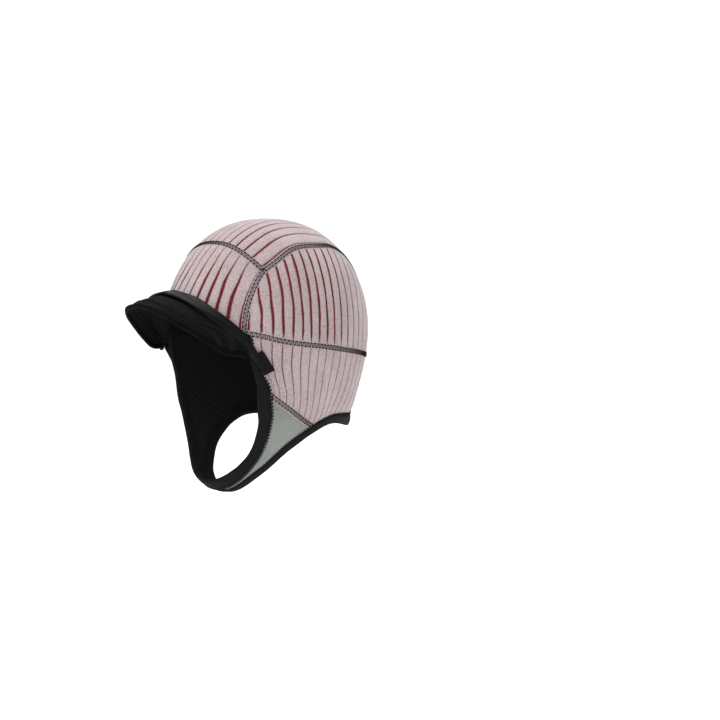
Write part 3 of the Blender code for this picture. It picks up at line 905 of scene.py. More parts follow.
@dataclass(frozen=True)
class StudioPaper(Finish):
    """Pale matt studio paper, lit through from behind."""

    base: tuple = paint(250, 250, 250)
    shade: tuple = paint(244, 244, 244)
    glow: float = 0.24

    def effects(self, w: Wiring, shader: Node) -> tuple[object, object]:
        """Barely uneven paper.

        Args:
            w: the material's nodes.
            shader: the material's shader.

        Returns:
            tuple: colour and height.
        """
        shader.inputs["Emission Color"].default_value = (1.0, 1.0, 1.0, 1.0)
        shader.inputs["Emission Strength"].default_value = self.glow
        cloud = w.noise(w.place(), 9.0, 2.0)
        return w.blend(cloud, self.shade, self.base), w.noise(w.place(), 800.0, 2.0)


PINK = HeatherCloth("pink_rib_jersey", sheen=0.28, roughness=0.92, specular=0.2, bump=0.8, depth=0.0005)
GREY = HeatherCloth("grey_flap_jersey", sheen=0.2, roughness=0.92, specular=0.2, ribbed=False,
                    base=paint(122, 127, 123), dark=paint(88, 92, 89), light=paint(154, 159, 154),
                    contrast=0.7, bump=0.6)
SEAM_BED = HeatherCloth("seam_bed", sheen=0.1, roughness=0.95, specular=0.2, ribbed=False,
                        base=paint(172, 156, 158), dark=paint(118, 104, 106), light=paint(200, 188, 189),
                        contrast=0.8)
BAND = KnitCloth("black_band_knit", roughness=0.9, specular=0.10, bump=0.6, depth=0.0004,
                 dark=paint(8, 8, 9), light=paint(32, 32, 33))
LINING = KnitCloth("lining_jersey", roughness=0.95, specular=0.12, dark=paint(16, 16, 18),
                   light=paint(34, 34, 37), ribs=900.0, bump=0.35)
WEBBING = KnitCloth("tab_webbing", roughness=0.9, specular=0.10, dark=paint(8, 8, 8),
                    light=paint(28, 28, 29), ribs=1100.0, bump=0.7)
# The light colours of the lip and the rim are their painted sheen.
SKIN = RubberSkin("brow_lip_rubber", specular=0.10, bump=0.22, depth=0.0004, gloss=0.36,
                  dark=paint(7, 7, 8), light=paint(20, 20, 22))
RIM = RubberSkin("rim_binding", specular=0.03, bump=0.35, depth=0.0003, gloss=0.60,
                 dark=paint(7, 7, 8), light=paint(16, 16, 17))
PEAK_MESH = OpenMesh("peak_mesh_cloth", roughness=0.85, specular=0.06, bump=0.7, depth=0.0005)
UNDER_PEAK = KnitCloth("peak_underside", roughness=0.9, specular=0.08, dark=paint(8, 8, 9),
                       light=paint(20, 20, 22), ribs=800.0, bump=0.3)
THREAD = SewingYarn("seam_thread", roughness=0.8, specular=0.12, bump=0.5, depth=0.0001)
PAPER = StudioPaper("studio_paper", roughness=0.95, specular=0.1, bump=0.05, depth=0.0002)


def grid_faces(rows: int, columns: int, start: int = 0, wrap: bool = False) -> Array:
    """Four-cornered faces of a grid of vertices, row after row.

    Args:
        rows: rows of vertices.
        columns: vertices in a row.
        start: number of the first vertex.
        wrap: also close each row into a ring.

    Returns:
        Array: faces, four vertex numbers each.
    """
    last = columns if wrap else columns - 1
    row, column = np.meshgrid(np.arange(rows - 1), np.arange(last), indexing="ij")
    near, far = row * columns + column, row * columns + (column + 1) % columns
    return start + np.stack([near, far, far + columns, near + columns], axis=-1).reshape(-1, 4)


@dataclass
class Piece:
    """Vertices, faces, pattern places and readings that become one object."""

    name: str
    finishes: tuple
    points: list = field(default_factory=list)
    faces: list = field(default_factory=list)
    slots: list = field(default_factory=list)
    places: list = field(default_factory=list)
    opened: list = field(default_factory=list)
    count: int = 0

    def add_grid(self, points: Array, places: Array, slot: int = 0, flip: bool = False,
                 wrap: bool = False, opened: Optional[Array] = None) -> int:
        """Add a grid of vertices and its faces.

        Args:
            points: rows by columns by three, in metres.
            places: pattern places, rows by columns by two.
            slot: which finish it takes.
            flip: turn the faces over.
            wrap: close each row into a ring.
            opened: how far the grooves stand open at each vertex.

        Returns:
            int: number of its first vertex.
        """
        rows, columns = points.shape[:2]
        faces = grid_faces(rows, columns, self.count, wrap)
        self.faces.append(faces[:, ::-1] if flip else faces)
        self.slots.append(np.full(len(faces), slot))
        self.points.append(points.reshape(-1, 3))
        self.places.append(places.reshape(-1, 2))
        self.opened.append(np.zeros(rows * columns) if opened is None else opened.reshape(-1))
        first = self.count
        self.count += rows * columns
        return first

    def close_edges(self, outer: int, inner: int, shape: tuple, flip: bool) -> None:
        """Add the cut edges between two grids of the same shape, in the second finish.

        Args:
            outer: number of the outer grid's first vertex.
            inner: number of the inner grid's first vertex.
            shape: rows and columns of each grid.
            flip: whether the outer grid's faces were turned over.
        """
        rows, columns = shape[:2]
        top, left = np.arange(columns), np.arange(rows) * columns
        rims = ((top, False), ((rows - 1) * columns + top, True), (left, True),
                (left + columns - 1, False))
        for rim, turned in rims:
            near, far = rim[:-1], rim[1:]
            quad = np.stack([outer + near, inner + near, inner + far, outer + far], axis=-1)
            self.faces.append(quad[:, ::-1] if turned != flip else quad)
            self.slots.append(np.full(len(quad), 1))

    def make(self, *nodes: str, slot: str = "") -> bpy.types.Object:
        """Turn the piece into an object that rides on the cap.

        Args:
            nodes: names of the solids that it stands for.
            slot: not used.

        Returns:
            Object: the new object.
        """
        points, faces = np.concatenate(self.points), np.concatenate(self.faces)
        mesh = bpy.data.meshes.new(self.name)
        mesh.vertices.add(len(points))
        mesh.vertices.foreach_set("co", points.astype(np.float32).ravel())
        mesh.loops.add(faces.size)
        mesh.loops.foreach_set("vertex_index", faces.astype(np.int32).ravel())
        mesh.polygons.add(len(faces))
        mesh.polygons.foreach_set("loop_start", np.arange(0, faces.size, 4, dtype=np.int32))
        mesh.polygons.foreach_set("material_index", np.concatenate(self.slots).astype(np.int32))
        mesh.polygons.foreach_set("use_smooth", np.ones(len(faces), bool))
        for finish in self.finishes:
            mesh.materials.append(finish.make())
        pattern = mesh.uv_layers.new(name="cut")
        pattern.data.foreach_set("uv", np.concatenate(self.places)[faces.ravel()].astype(np.float32).ravel())
        reading = mesh.attributes.new("open", "FLOAT", "POINT")
        reading.data.foreach_set("value", np.concatenate(self.opened).astype(np.float32))
        mesh.update(calc_edges=True)
        mesh.validate()
        thing = bpy.data.objects.new(self.name, mesh)
        bpy.context.scene.collection.objects.link(thing)
        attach(thing, "root")
        if nodes:
            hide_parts(*nodes)
        LOG.info("%s: %d faces", self.name, len(faces))
        return thing


def grid_normals(points: Array, direction: Direction = Direction.OUT) -> Array:
    """Directions square to a grid of points.

    Args:
        points: rows by columns by three.
        direction: which way the outside looks.

    Returns:
        Array: directions of length one, on the outside.
    """
    normals = unit(np.cross(np.gradient(points, axis=1), np.gradient(points, axis=0)))
    if direction is Direction.UP:
        facing = normals[..., 2].sum()
    else:
        facing = np.sum(normals * (points - np.array([0, 0, FORM.ear_level])))
    return normals if facing > 0 else -normals


def looks_away(points: Array, normals: Array) -> bool:
    """Whether a grid's faces, in their first order, look along the given directions."""
    made = np.cross(points[1:, :-1] - points[:-1, :-1], points[:-1, 1:] - points[:-1, :-1])
    return bool(np.sum(made * normals[:-1, :-1]) < 0)


def cloth_piece(piece: Piece, base: Array, lift: Array, wall: float, places: Array, opened: Array,
                direction: Direction = Direction.OUT) -> None:
    """Fill a piece with an outer sheet, a lining a wall inside it and the cut edges between them.

    Args:
        piece: the piece to fill; its second finish is the lining.
        base: smooth outside, rows by columns by three.
        lift: how far the outer sheet stands off the smooth outside.
        wall: thickness of the cloth.
        places: pattern places.
        opened: how far the grooves stand open.
        direction: which way the outside looks.
    """
    normals = grid_normals(base, direction)
    flip = not looks_away(base, normals)
    outer = piece.add_grid(base + normals * lift[..., None], places, 0, flip, opened=opened)
    inner = piece.add_grid(base - normals * wall, places * RIBBING.pitch, 1, not flip)
    piece.close_edges(outer, inner, base.shape, flip)


@dataclass(frozen=True)
class RibLayout:
    """Places of the mesh's columns across a ribbed panel, close together at each groove."""

    pitch: float = 0.009
    depth: float = 0.0008
    crown: float = 0.00022
    near: tuple = (-0.0019, -0.0012, -0.0007, -0.00035, 0.0, 0.00035, 0.0007, 0.0012, 0.0019)
    between: tuple = (0.0032, 0.0045, 0.0058)
    closest: float = 0.0002
    wander: float = 0.00035

    def columns(self, start: float, end: float) -> Array:
        """Columns from one edge of a panel to the other.

        Args:
            start: place of the first edge.
            end: place of the last edge.

        Returns:
            Array: places in metres.
        """
        first = math.floor(start / self.pitch)
        places = [start, end]
        for rib in range(first, math.ceil(end / self.pitch) + 1):
            places += [rib * self.pitch + offset for offset in self.near + self.between]
        inside = sorted(place for place in set(places) if start <= place <= end)
        kept = [inside[0]]
        for place in inside[1:]:
            if place - kept[-1] > self.closest:
                kept.append(place)
        kept[-1] = end
        return np.array(kept)

    def waver(self, across: Array, row: Array) -> Array:
        """Sideways wander of the ribs, none at their two ends.

        Args:
            across: places across the ribs, in metres.
            row: shares of the way along the ribs.

        Returns:
            Array: shifts in metres.
        """
        wave = np.sin(6.3 * row + 210 * across) + 0.6 * np.sin(13.0 * row - 430 * across)
        return self.wander * wave * np.sin(math.pi * row)

    def lift(self, across: Array, opened: Array) -> Array:
        """Height of the pile over the smooth outside.

        Args:
            across: places across the ribs, in metres.
            opened: how far the grooves stand open.

        Returns:
            Array: heights in metres, below zero in the grooves.
        """
        away = np.abs((across / self.pitch + 0.5) % 1 - 0.5) * self.pitch
        width = 0.00045 + 0.00075 * opened
        groove = np.exp(-(away / width) ** 2)
        pile = self.crown * np.sin(np.pi * away / self.pitch)
        return pile - self.depth * (0.55 + 0.45 * opened) * groove


RIBBING = RibLayout()


def seated(lift: Array) -> Array:
    """Sink the edges of a panel a little where its seams pull it down.

    Args:
        lift: heights of the panel, rows by columns.

    Returns:
        Array: the heights with both ends sunk.
    """
    rows = len(lift)
    row = np.minimum(np.arange(rows), np.arange(rows)[::-1])[:, None]
    sink = np.where(row == 0, 0.0006, np.where(row == 1, 0.0002, 0.0))
    return lift - sink


@dataclass
class CrownPanels:
    """The long panel over the head and the forehead panel before it."""

    seam_gap: float = SEAM_GAP
    crown_rows: int = 100
    brow_rows: int = 44

    def crown(self) -> bpy.types.Object:
        """Make the long panel over the top of the head.

        Returns:
            Object: the panel.
        """
        half = 0.70 * FORM.half_width
        across = RIBBING.columns(-half, half)[None, :]
        row = np.linspace(0, 1, self.crown_rows)[:, None]
        start, end = CUT.front_seam_angle + CUT.seam_step, CUT.back_seam_angle - CUT.seam_step
        share = across / half
        angle = start + (end - start) * row
        angle = angle + CUT.front_seam_rise * (1 - share ** 2) * (1 - row) ** 3
        width = (CUT.seam_share(angle) - self.seam_gap / 2 / FORM.half_width * 1.8) * share
        base = FORM.width_point(angle, width)
        opened = 0.42 * (1 - ease(0.02, 0.34, row)) * ease(0.0, 0.5, np.abs(share)) + 0.05
        opened = opened * (1 - 0.5 * ease(0.8, 1.0, np.abs(share))) + 0.10 * ease(0.5, 1, row)
        opened = np.broadcast_to(opened, angle.shape)
        piece = Piece("crown_centre_cloth", (PINK, LINING))
        places = np.stack(np.broadcast_arrays(across / RIBBING.pitch, row * 28), axis=-1)
        lift = seated(np.broadcast_to(RIBBING.lift(across, opened), angle.shape))
        cloth_piece(piece, base, lift, WALL, places, opened)
        thing = piece.make("crown_centre_panel", slot="ribbed_fabric")
        return thing

    def brow(self) -> bpy.types.Object:
        """Make the forehead panel, its hem tucked under the lip.

        Returns:
            Object: the panel.
        """
        half = 0.69 * FORM.half_width
        across = RIBBING.columns(-half, half)[None, :]
        row = np.linspace(0, 1, self.brow_rows)[:, None]
        share = across / half
        top = CUT.front_seam_angle - CUT.seam_step + CUT.front_seam_rise * (1 - share ** 2)
        low = CUT.brow_low(share) - 2.2
        angle = low + (top - low) * row
        width = (CUT.seam_share(angle) - self.seam_gap / 2 / FORM.half_width * 2.2) * share
        width = width + RIBBING.waver(across, row) * (1 - np.abs(share) ** 8) / FORM.half_width
        smooth_base = FORM.width_point(angle, width)
        flare = CUT.brow_flare * (1 - share ** 2) * (1 - np.clip(row * 1.06 - 0.06, 0, 1)) ** 2.2
        base = smooth_base + FORM.outward(smooth_base) * flare[..., None]
        side = ease(-0.1, 0.45, np.abs(share))
        opened = (0.08 + 0.80 * side * (1 - ease(0.35, 0.95, row))) * (1 - 0.35 * ease(0.0, 0.1, 0.1 - row))
        piece = Piece("forehead_cloth", (PINK, LINING))
        places = np.stack(np.broadcast_arrays(across / RIBBING.pitch, row * 9 + 40), axis=-1)
        lift = seated(RIBBING.lift(across, opened))
        cloth_piece(piece, base, lift, WALL, places, opened)
        thing = piece.make("forehead_panel", slot="ribbed_fabric")
        return thing


@dataclass
class SidePanels:
    """The ribbed panels of one side and the grey flap below them."""

    side: Side
    seam_gap: float = SEAM_GAP
    upper_rows: int = 46
    lower_rows: int = 48
    lean: float = 0.045
    rear_lean: float = 0.10
    chin_lap: float = 0.0003

    def long_seam(self) -> Array:
        """Points of the long seam from temple to the back."""
        angles = np.linspace(CUT.temple_angle, CUT.back_seam_angle, 241)
        return FORM.width_point(angles, CUT.seam_share(angles))

    def leaning(self, spot: Array) -> Array:
        """How far back a rib runs for each metre that it rises."""
        return self.lean + (self.rear_lean - self.lean) * ease(0.02, 0.075, spot)

    def seam_height(self, spots: Array) -> Array:
        """Height of the long seam where the rib at each spot meets it.

        Args:
            spots: places of the ribs at the level of the ear.

        Returns:
            Array: heights in metres.
        """
        seam = self.long_seam()
        heights = []
        for spot in spots:
            slant = float(self.leaning(spot))
            away = seam[:, 1] + slant * (FORM.ear_level - seam[:, 2]) - spot
            cross = np.nonzero((away[:-1] <= 0) & (away[1:] > 0))[0]
            if len(cross):
                index = cross[0]
                share = away[index] / (away[index] - away[index + 1])
                heights.append(seam[index, 2] + (seam[index + 1, 2] - seam[index, 2]) * share)
            else:
                heights.append(seam[0, 2] if away[0] > 0 else seam[-1, 2])
        return np.array(heights)

    def upper(self) -> bpy.types.Object:
        """Make the ribbed panel over the ear.

        Returns:
            Object: the panel.
        """
        seam = self.long_seam()
        front = seam[0, 1] + self.lean * (FORM.ear_level - seam[0, 2]) + 0.0010
        rear = seam[-1, 1] + self.rear_lean * (FORM.ear_level - seam[-1, 2]) + 0.0002
        spots = RIBBING.columns(front, rear)
        high = self.seam_height(spots)
        slope = np.gradient(high, spots)
        high = high - self.seam_gap * np.minimum(np.hypot(1, slope), 2.5)
        slant = self.leaning(spots)
        low_back = spots - slant * CUT.ear_drop(spots)
        low = FORM.ear_level - CUT.ear_drop(low_back) + self.seam_gap / 2
        high = np.maximum(high, low + 0.0008)
        row = np.linspace(0, 1, self.upper_rows)[:, None]
        drop = FORM.ear_level - (low + (high - low) * row)
        base = FORM.side_point(spots - slant * drop + RIBBING.waver(spots, row), drop, self.side.value)
        middle = np.exp(-(np.abs(spots + 0.026) / 0.052) ** 3)
        opened = (0.08 + 0.92 * middle)[None, :] * ease(0.0, 0.14, row) * (1 - 0.35 * ease(0.86, 1.0, row))
        opened = opened * (0.8 + 0.2 * np.sin(spots * 2100)[None, :])
        name = "side_upper_" + self.side.word
        piece = Piece(name + "_cloth", (PINK, LINING))
        places = np.stack(np.broadcast_arrays(spots[None, :] / RIBBING.pitch + 60, row * 11), axis=-1)
        lift = seated(RIBBING.lift(spots[None, :], opened))
        cloth_piece(piece, base, lift, WALL, places, opened)
        thing = piece.make(name, slot="ribbed_fabric")
        return thing

    def lower_edges(self) -> tuple[Callable, Callable, Callable, Callable]:
        """The four edges of the lower panel in the side view.

        Returns:
            tuple: top, low, front and rear edges, each a function of a share.
        """
        gap, cut = self.seam_gap / 2, 7 / 16
        wide = CUT.back_width + CUT.rear_lap
        rear_top = CUT.flat(FORM.width_point(np.array(CUT.back_seam_angle), np.array(wide)))
        nape = CUT.nape_width()
        start = CUT.flat(CUT.rail(FACE_BAND_ROWS, np.array(0.0), 2)) + np.array([0.0004, 0])

        def top(share: Array) -> Array:
            """Edge under the seam over the ear."""
            back = start[0] + (rear_top[0] - start[0]) * share
            return np.stack([back, CUT.ear_drop(back) + gap], axis=-1)

        def low(share: Array) -> Array:
            """Edge over the flap and then over the neck band.

            Args:
                share: shares of the way along the edge.

            Returns:
                Array: places behind and below the ear.
            """
            seam = CUT.cheek(np.clip(share / cut, 0, 1)) + np.array([0, -gap])
            part = np.clip((share - cut) / (1 - cut), 0, 1)
            spot = CUT.flap_share + (CUT.nape_share - CUT.flap_share) * part
            band = CUT.flat(CUT.rail(NECK_BAND_ROWS, spot, 0)) - np.array([0, gap])
            return np.where((share < cut)[..., None], seam, band)

        def front(share: Array) -> Array:
            """Edge beside the face band.

            Args:
                share: shares of the way along the edge.

            Returns:
                Array: places behind and below the ear.
            """
            edge = CUT.flat(CUT.rail(FACE_BAND_ROWS, CUT.cheek_share * share, 2))
            edge = edge + np.stack([gap + 0 * share, -gap * share], axis=-1)
            return edge + (top(np.zeros(1)) - start) * ((1 - share) ** 3)[..., None]

        def rear(share: Array) -> Array:
            """Edge beside the nape panel.

            Args:
                share: shares of the way along the edge.

            Returns:
                Array: places behind and below the ear.
            """
            angle = CUT.back_seam_angle + (CUT.nape_angle - CUT.back_seam_angle) * share
            width = wide + (nape - wide) * share
            spot = CUT.flat(FORM.width_point(angle, width))
            return spot + np.stack([0 * share, 0.0006 * (1 - share) - gap * share], axis=-1)

        return top, low, front, rear

    def lower(self) -> bpy.types.Object:
        """Make the panel below the ear, with fine grooves.

        Returns:
            Object: the panel.
        """
        top, low, front, rear = self.lower_edges()
        ends = top(np.array([0.0, 1.0]))[:, 0]
        spots = RIBBING.columns(float(ends[0]), float(ends[1]))
        share = (spots - ends[0]) / (ends[1] - ends[0])
        row = np.linspace(0, 1, self.lower_rows)
        high_edge, low_edge = top(share)[None], low(share)[None]
        near_edge, far_edge = front(row)[:, None], rear(row)[:, None]
        across, down = share[None, :, None], row[:, None, None]
        corners = (high_edge[:, :1] * (1 - across) + high_edge[:, -1:] * across) * (1 - down)
        corners = corners + (low_edge[:, :1] * (1 - across) + low_edge[:, -1:] * across) * down
        spot = high_edge * (1 - down) + low_edge * down + near_edge * (1 - across) + far_edge * across
        spot = spot - corners
        base = FORM.side_point(spot[..., 0], spot[..., 1], self.side.value)
        pulled = np.exp(-((spots + 0.045) / 0.03) ** 2)[None, :]
        opened = 0.16 * pulled * (1 - ease(0.5, 1, row))[:, None] + 0.04
        name = "side_lower_" + self.side.word
        piece = Piece(name + "_cloth", (PINK, LINING))
        places = np.stack(np.broadcast_arrays(spots[None, :] / RIBBING.pitch + 90,
                                              row[:, None] * 11), axis=-1)
        lift = seated(RIBBING.lift(spots[None, :], opened) * 0.8)
        cloth_piece(piece, base, lift, WALL, places, opened)
        thing = piece.make(name, slot="ribbed_fabric")
        "side_upper_" + self.side.word + "_cloth"
        return thing

    def flap(self) -> bpy.types.Object:
        """Make the grey flap from the cheek down to the chin.

        Returns:
            Object: the flap.
        """
        gap = self.seam_gap / 2
        column, row = np.meshgrid(np.linspace(0, 1, 42), np.linspace(0, 1, 60))
        fade = (1 - row ** 6)[..., None]
        face_spot = CUT.cheek_share + (1.0 - CUT.cheek_share) * row
        neck_spot = CUT.flap_share * (1 - row)
        near = CUT.flat(CUT.rail(FACE_BAND_ROWS, face_spot, 2)) + np.array([gap, 0]) * fade
        far = CUT.flat(CUT.rail(NECK_BAND_ROWS, neck_spot, 0)) - np.array([0.8 * gap, 0.8 * gap]) * fade
        spot = near * (1 - column)[..., None] + far * column[..., None]
        ends = CUT.cheek(np.array([0.0, 1.0]))
        straight = ends[0] * (1 - column)[..., None] + ends[1] * column[..., None]
        bulge = CUT.cheek(column) - straight + np.array([0, 2.3 * gap])
        lap = np.array([0, self.chin_lap]) * (row ** 12)[..., None]
        spot = spot + bulge * ((1 - row) ** 2)[..., None] + lap
        base = FORM.side_point(spot[..., 0], spot[..., 1], self.side.value)
        name = "chin_flap_" + self.side.word
        piece = Piece(name + "_cloth", (GREY, LINING))
        places = np.stack([column * 6, row * 9], axis=-1)
        puff = 0.0006 * np.sin(np.pi * column) * np.sin(np.pi * np.clip(row, 0, 1))
        cloth_piece(piece, base, seated(puff - 0.0003), WALL, places, np.zeros_like(row))
        thing = piece.make(name, slot="flap_fabric")
        "side_lower_" + self.side.word + "_cloth"
        return thing


@dataclass
class NapePanel:
    """The panel at the nape, between the two sides."""

    rows: int = 30

    def make(self) -> bpy.types.Object:
        """Make the nape panel.

        Returns:
            Object: the panel.
        """
        nape = CUT.nape_width()
        half = CUT.back_width * FORM.half_width
        columns = RIBBING.columns(-half, half)
        across, row = np.meshgrid(columns / half, np.linspace(0, 1, self.rows))
        low = 219.4 + 2.9 * across ** 2
        high = CUT.back_seam_angle + CUT.seam_step
        angle = high + (low - high) * row
        width = CUT.back_width + (nape - CUT.back_width) * row
        base = FORM.width_point(angle, across * (width - 0.002))
        opened = np.full(row.shape, 0.06)
        piece = Piece("back_lower_cloth", (PINK, LINING))
        places = np.stack([across * half / RIBBING.pitch + 120, row * 6], axis=-1)
        cloth_piece(piece, base, seated(RIBBING.lift(across * half, opened) * 0.8), WALL, places, opened)
        thing = piece.make("back_lower_panel", slot="ribbed_fabric")
        return thing


def distances(path: Array) -> Array:
    """Distance along a path from its start to each of its points."""
    return np.concatenate([[0], np.cumsum(np.linalg.norm(np.diff(path, axis=0), axis=1))])


def zigzag(steps: Array, pitch: float) -> Array:
    """Swing between -1 and 1, once over and back in each stitch."""
    return np.abs(steps / pitch % 1 * 2 - 1) * 2 - 1


def evenly_along(path: Array, step: float) -> Array:
    """Points along a path, evenly spread.

    Args:
        path: points of the path.
        step: distance between two of the new points.

    Returns:
        Array: the new points.
    """
    far = distances(path)
    at = np.linspace(0, far[-1], max(8, int(round(far[-1] / step)) + 1))
    return np.stack([np.interp(at, far, path[:, k]) for k in range(3)], axis=1)


@dataclass(frozen=True)
class Track:
    """A line on the cloth with the directions along, across and off it at each point."""

    points: Array
    ahead: Array
    off: Array
    across: Array
    far: Array

    @classmethod
    def over(cls, path: Array, step: float = 0.0012) -> "Track":
        """Lay a track over the outside of the cap.

        Args:
            path: points of the line.
            step: distance between two points of the track.

        Returns:
            Track: the line with its directions.
        """
        points = evenly_along(path, step)
        ahead = unit(np.gradient(points, axis=0))
        off = FORM.outward(points)
        off = unit(off - ahead * np.sum(off * ahead, axis=1, keepdims=True))
        far = distances(points)
        return cls(points, ahead, off, np.cross(ahead, off), far)

    def at(self, far: Array, across: Array, off: Array) -> tuple[Array, Array, Array]:
        """Places beside and above the line, with the directions there.

        Args:
            far: distances along the line.
            across: distances to its right.
            off: distances off the cloth.

        Returns:
            tuple: points, directions along and directions off.
        """
        def read(values: Array) -> Array:
            """Values at the distances along the line."""
            return np.stack([np.interp(far, self.far, values[:, k]) for k in range(3)], axis=-1)

        out, beside = unit(read(self.off)), unit(read(self.across))
        place = read(self.points) + beside * np.asarray(across)[..., None] + out * np.asarray(off)[..., None]
        return place, unit(read(self.ahead)), out


def add_yarn(piece: Piece, path: Array, radius: float, slot: int = 0, sides: int = 5) -> None:
    """Add a round yarn along a path.

    Args:
        piece: the piece it becomes part of.
        path: points of its middle.
        radius: half of its thickness.
        slot: which finish it takes.
        sides: sides of its cross-section.
    """
    ahead = unit(np.gradient(path, axis=0))
    aside = unit(np.cross(ahead, FORM.outward(path)))
    off = np.cross(aside, ahead)
    turn = np.arange(sides) * 2 * math.pi / sides
    ring = aside[:, None] * np.cos(turn)[None, :, None] + off[:, None] * np.sin(turn)[None, :, None]
    points = path[:, None] + ring * radius
    far = distances(path) / (radius * 6)
    places = np.stack(np.broadcast_arrays(far[:, None], np.arange(sides)[None, :] / sides), axis=-1)
    piece.add_grid(points, places, slot, False, wrap=True)


@dataclass(frozen=True)
class Flatlock:
    """A flat seam: two rows of needle thread joined by crossing cover thread over a pressed bed."""

    width: float = 0.0042
    pitch: float = 0.0038
    needle_radius: float = 0.00030
    cover_radius: float = 0.00032
    lift: float = 0.00034
    bed: tuple = (
        (-1.6, -0.0017), (-0.76, -0.0009), (-0.58, 0.0001), (-0.38, 0.00032), (-0.12, 0.0002),
        (0.12, 0.0002), (0.38, 0.00032), (0.58, 0.0001), (0.76, -0.0009), (1.6, -0.0017),
    )

    def sew(self, name: str, path: Array) -> bpy.types.Object:
        """Sew the seam along a path.

        Args:
            name: name of the piece.
            path: points of the seam's middle.

        Returns:
            Object: the seam.
        """
        track = Track.over(path)
        piece = Piece(name, (SEAM_BED, THREAD))
        shares, heights = np.array(self.bed).T
        far = np.broadcast_to(track.far[:, None], (len(track.far), len(shares)))
        bed, _, off = track.at(far, np.broadcast_to(shares * self.width, far.shape),
                               np.broadcast_to(heights, far.shape))
        places = np.stack([far * 400, np.broadcast_to(shares, far.shape)], axis=-1)
        piece.add_grid(bed, places, 0, not looks_away(bed, off))
        for share in (-0.40, 0.40):
            steps = np.arange(0, track.far[-1], self.pitch / 6)
            wave = 0.5 + 0.5 * np.cos(steps / self.pitch * 2 * math.pi)
            line, _, _ = track.at(steps, np.full(len(steps), share * self.width),
                                  self.lift + 0.00022 * wave - 0.0001)
            add_yarn(piece, line, self.needle_radius, 1)
        steps = np.arange(0, track.far[-1], self.pitch / 12)
        swing = zigzag(steps, self.pitch)
        line, _, _ = track.at(steps, np.sin(swing * math.pi / 2) * self.width * 0.54,
                              self.lift + 0.00030 - 0.00042 * np.abs(swing) ** 4)
        add_yarn(piece, line, self.cover_radius, 1)
        return piece.make(slot="ribbed_fabric")


@dataclass
class Seams:
    """Every flatlock seam of the cap."""

    stitch: Flatlock = Flatlock()

    def front(self) -> bpy.types.Object:
        """Sew the seam across the front of the crown.

        Returns:
            Object: the seam.
        """
        share = np.linspace(-1, 1, 121)
        angle = CUT.front_seam_angle + CUT.front_seam_rise * (1 - share ** 2)
        return self.stitch.sew("front_seam", FORM.width_point(angle, CUT.seam_share(angle) * share))

    def long(self, side: Side) -> bpy.types.Object:
        """Sew the long seam of one side from temple to the back.

        Args:
            side: side of the cap.

        Returns:
            Object: the seam.
        """
        angle = np.linspace(CUT.temple_angle - 3, CUT.back_seam_angle, 301)
        width = np.where(angle < CUT.temple_angle, LONG_SEAM_ROWS[0][1], CUT.seam_share(angle)) * side.value
        return self.stitch.sew("long_seam_" + side.word, FORM.width_point(angle, width))

    def ear(self) -> bpy.types.Object:
        """Sew the seam over one ear, round the back and over the other ear.

        Returns:
            Object: the seam.
        """
        start = CUT.flat(CUT.rail(FACE_BAND_ROWS, np.array(0.0), 2))[0] - 0.004
        end = CUT.flat(FORM.width_point(np.array(CUT.back_seam_angle), np.array(CUT.back_width)))[0]
        back = np.linspace(start, end, 160)
        left = FORM.side_point(back, CUT.ear_drop(back), 1)
        width = np.linspace(CUT.back_width, -CUT.back_width, 40)[1:-1]
        middle = FORM.width_point(np.full(38, CUT.back_seam_angle), width)
        right = FORM.side_point(back, CUT.ear_drop(back), -1)[::-1]
        return self.stitch.sew("ear_seam", np.concatenate([left, middle, right]))

    def cheek(self, side: Side) -> bpy.types.Object:
        """Sew the seam between the lower panel and the flap.

        Args:
            side: side of the cap.

        Returns:
            Object: the seam.
        """
        spot = CUT.cheek(np.linspace(-0.02, 1.0, 80))
        path = FORM.side_point(spot[:, 0], spot[:, 1], side.value)
        return self.stitch.sew("cheek_seam_" + side.word, path)

    def nape(self, side: Side) -> bpy.types.Object:
        """Sew the upright seam beside the nape panel.

        Args:
            side: side of the cap.

        Returns:
            Object: the seam.
        """
        nape = CUT.nape_width()
        share = np.linspace(0, 1, 60)
        angle = CUT.back_seam_angle + (CUT.nape_seam_angle - CUT.back_seam_angle) * share
        width = (CUT.back_width + (nape - CUT.back_width) * share) * side.value
        return self.stitch.sew("nape_seam_" + side.word, FORM.width_point(angle, width))

    def sew_all(self) -> list[bpy.types.Object]:
        """Sew every seam.

        Returns:
            list: the seams.
        """
        made = [self.front(), self.ear()]
        for side in Side:
            made += [self.long(side), self.cheek(side), self.nape(side)]
        return made


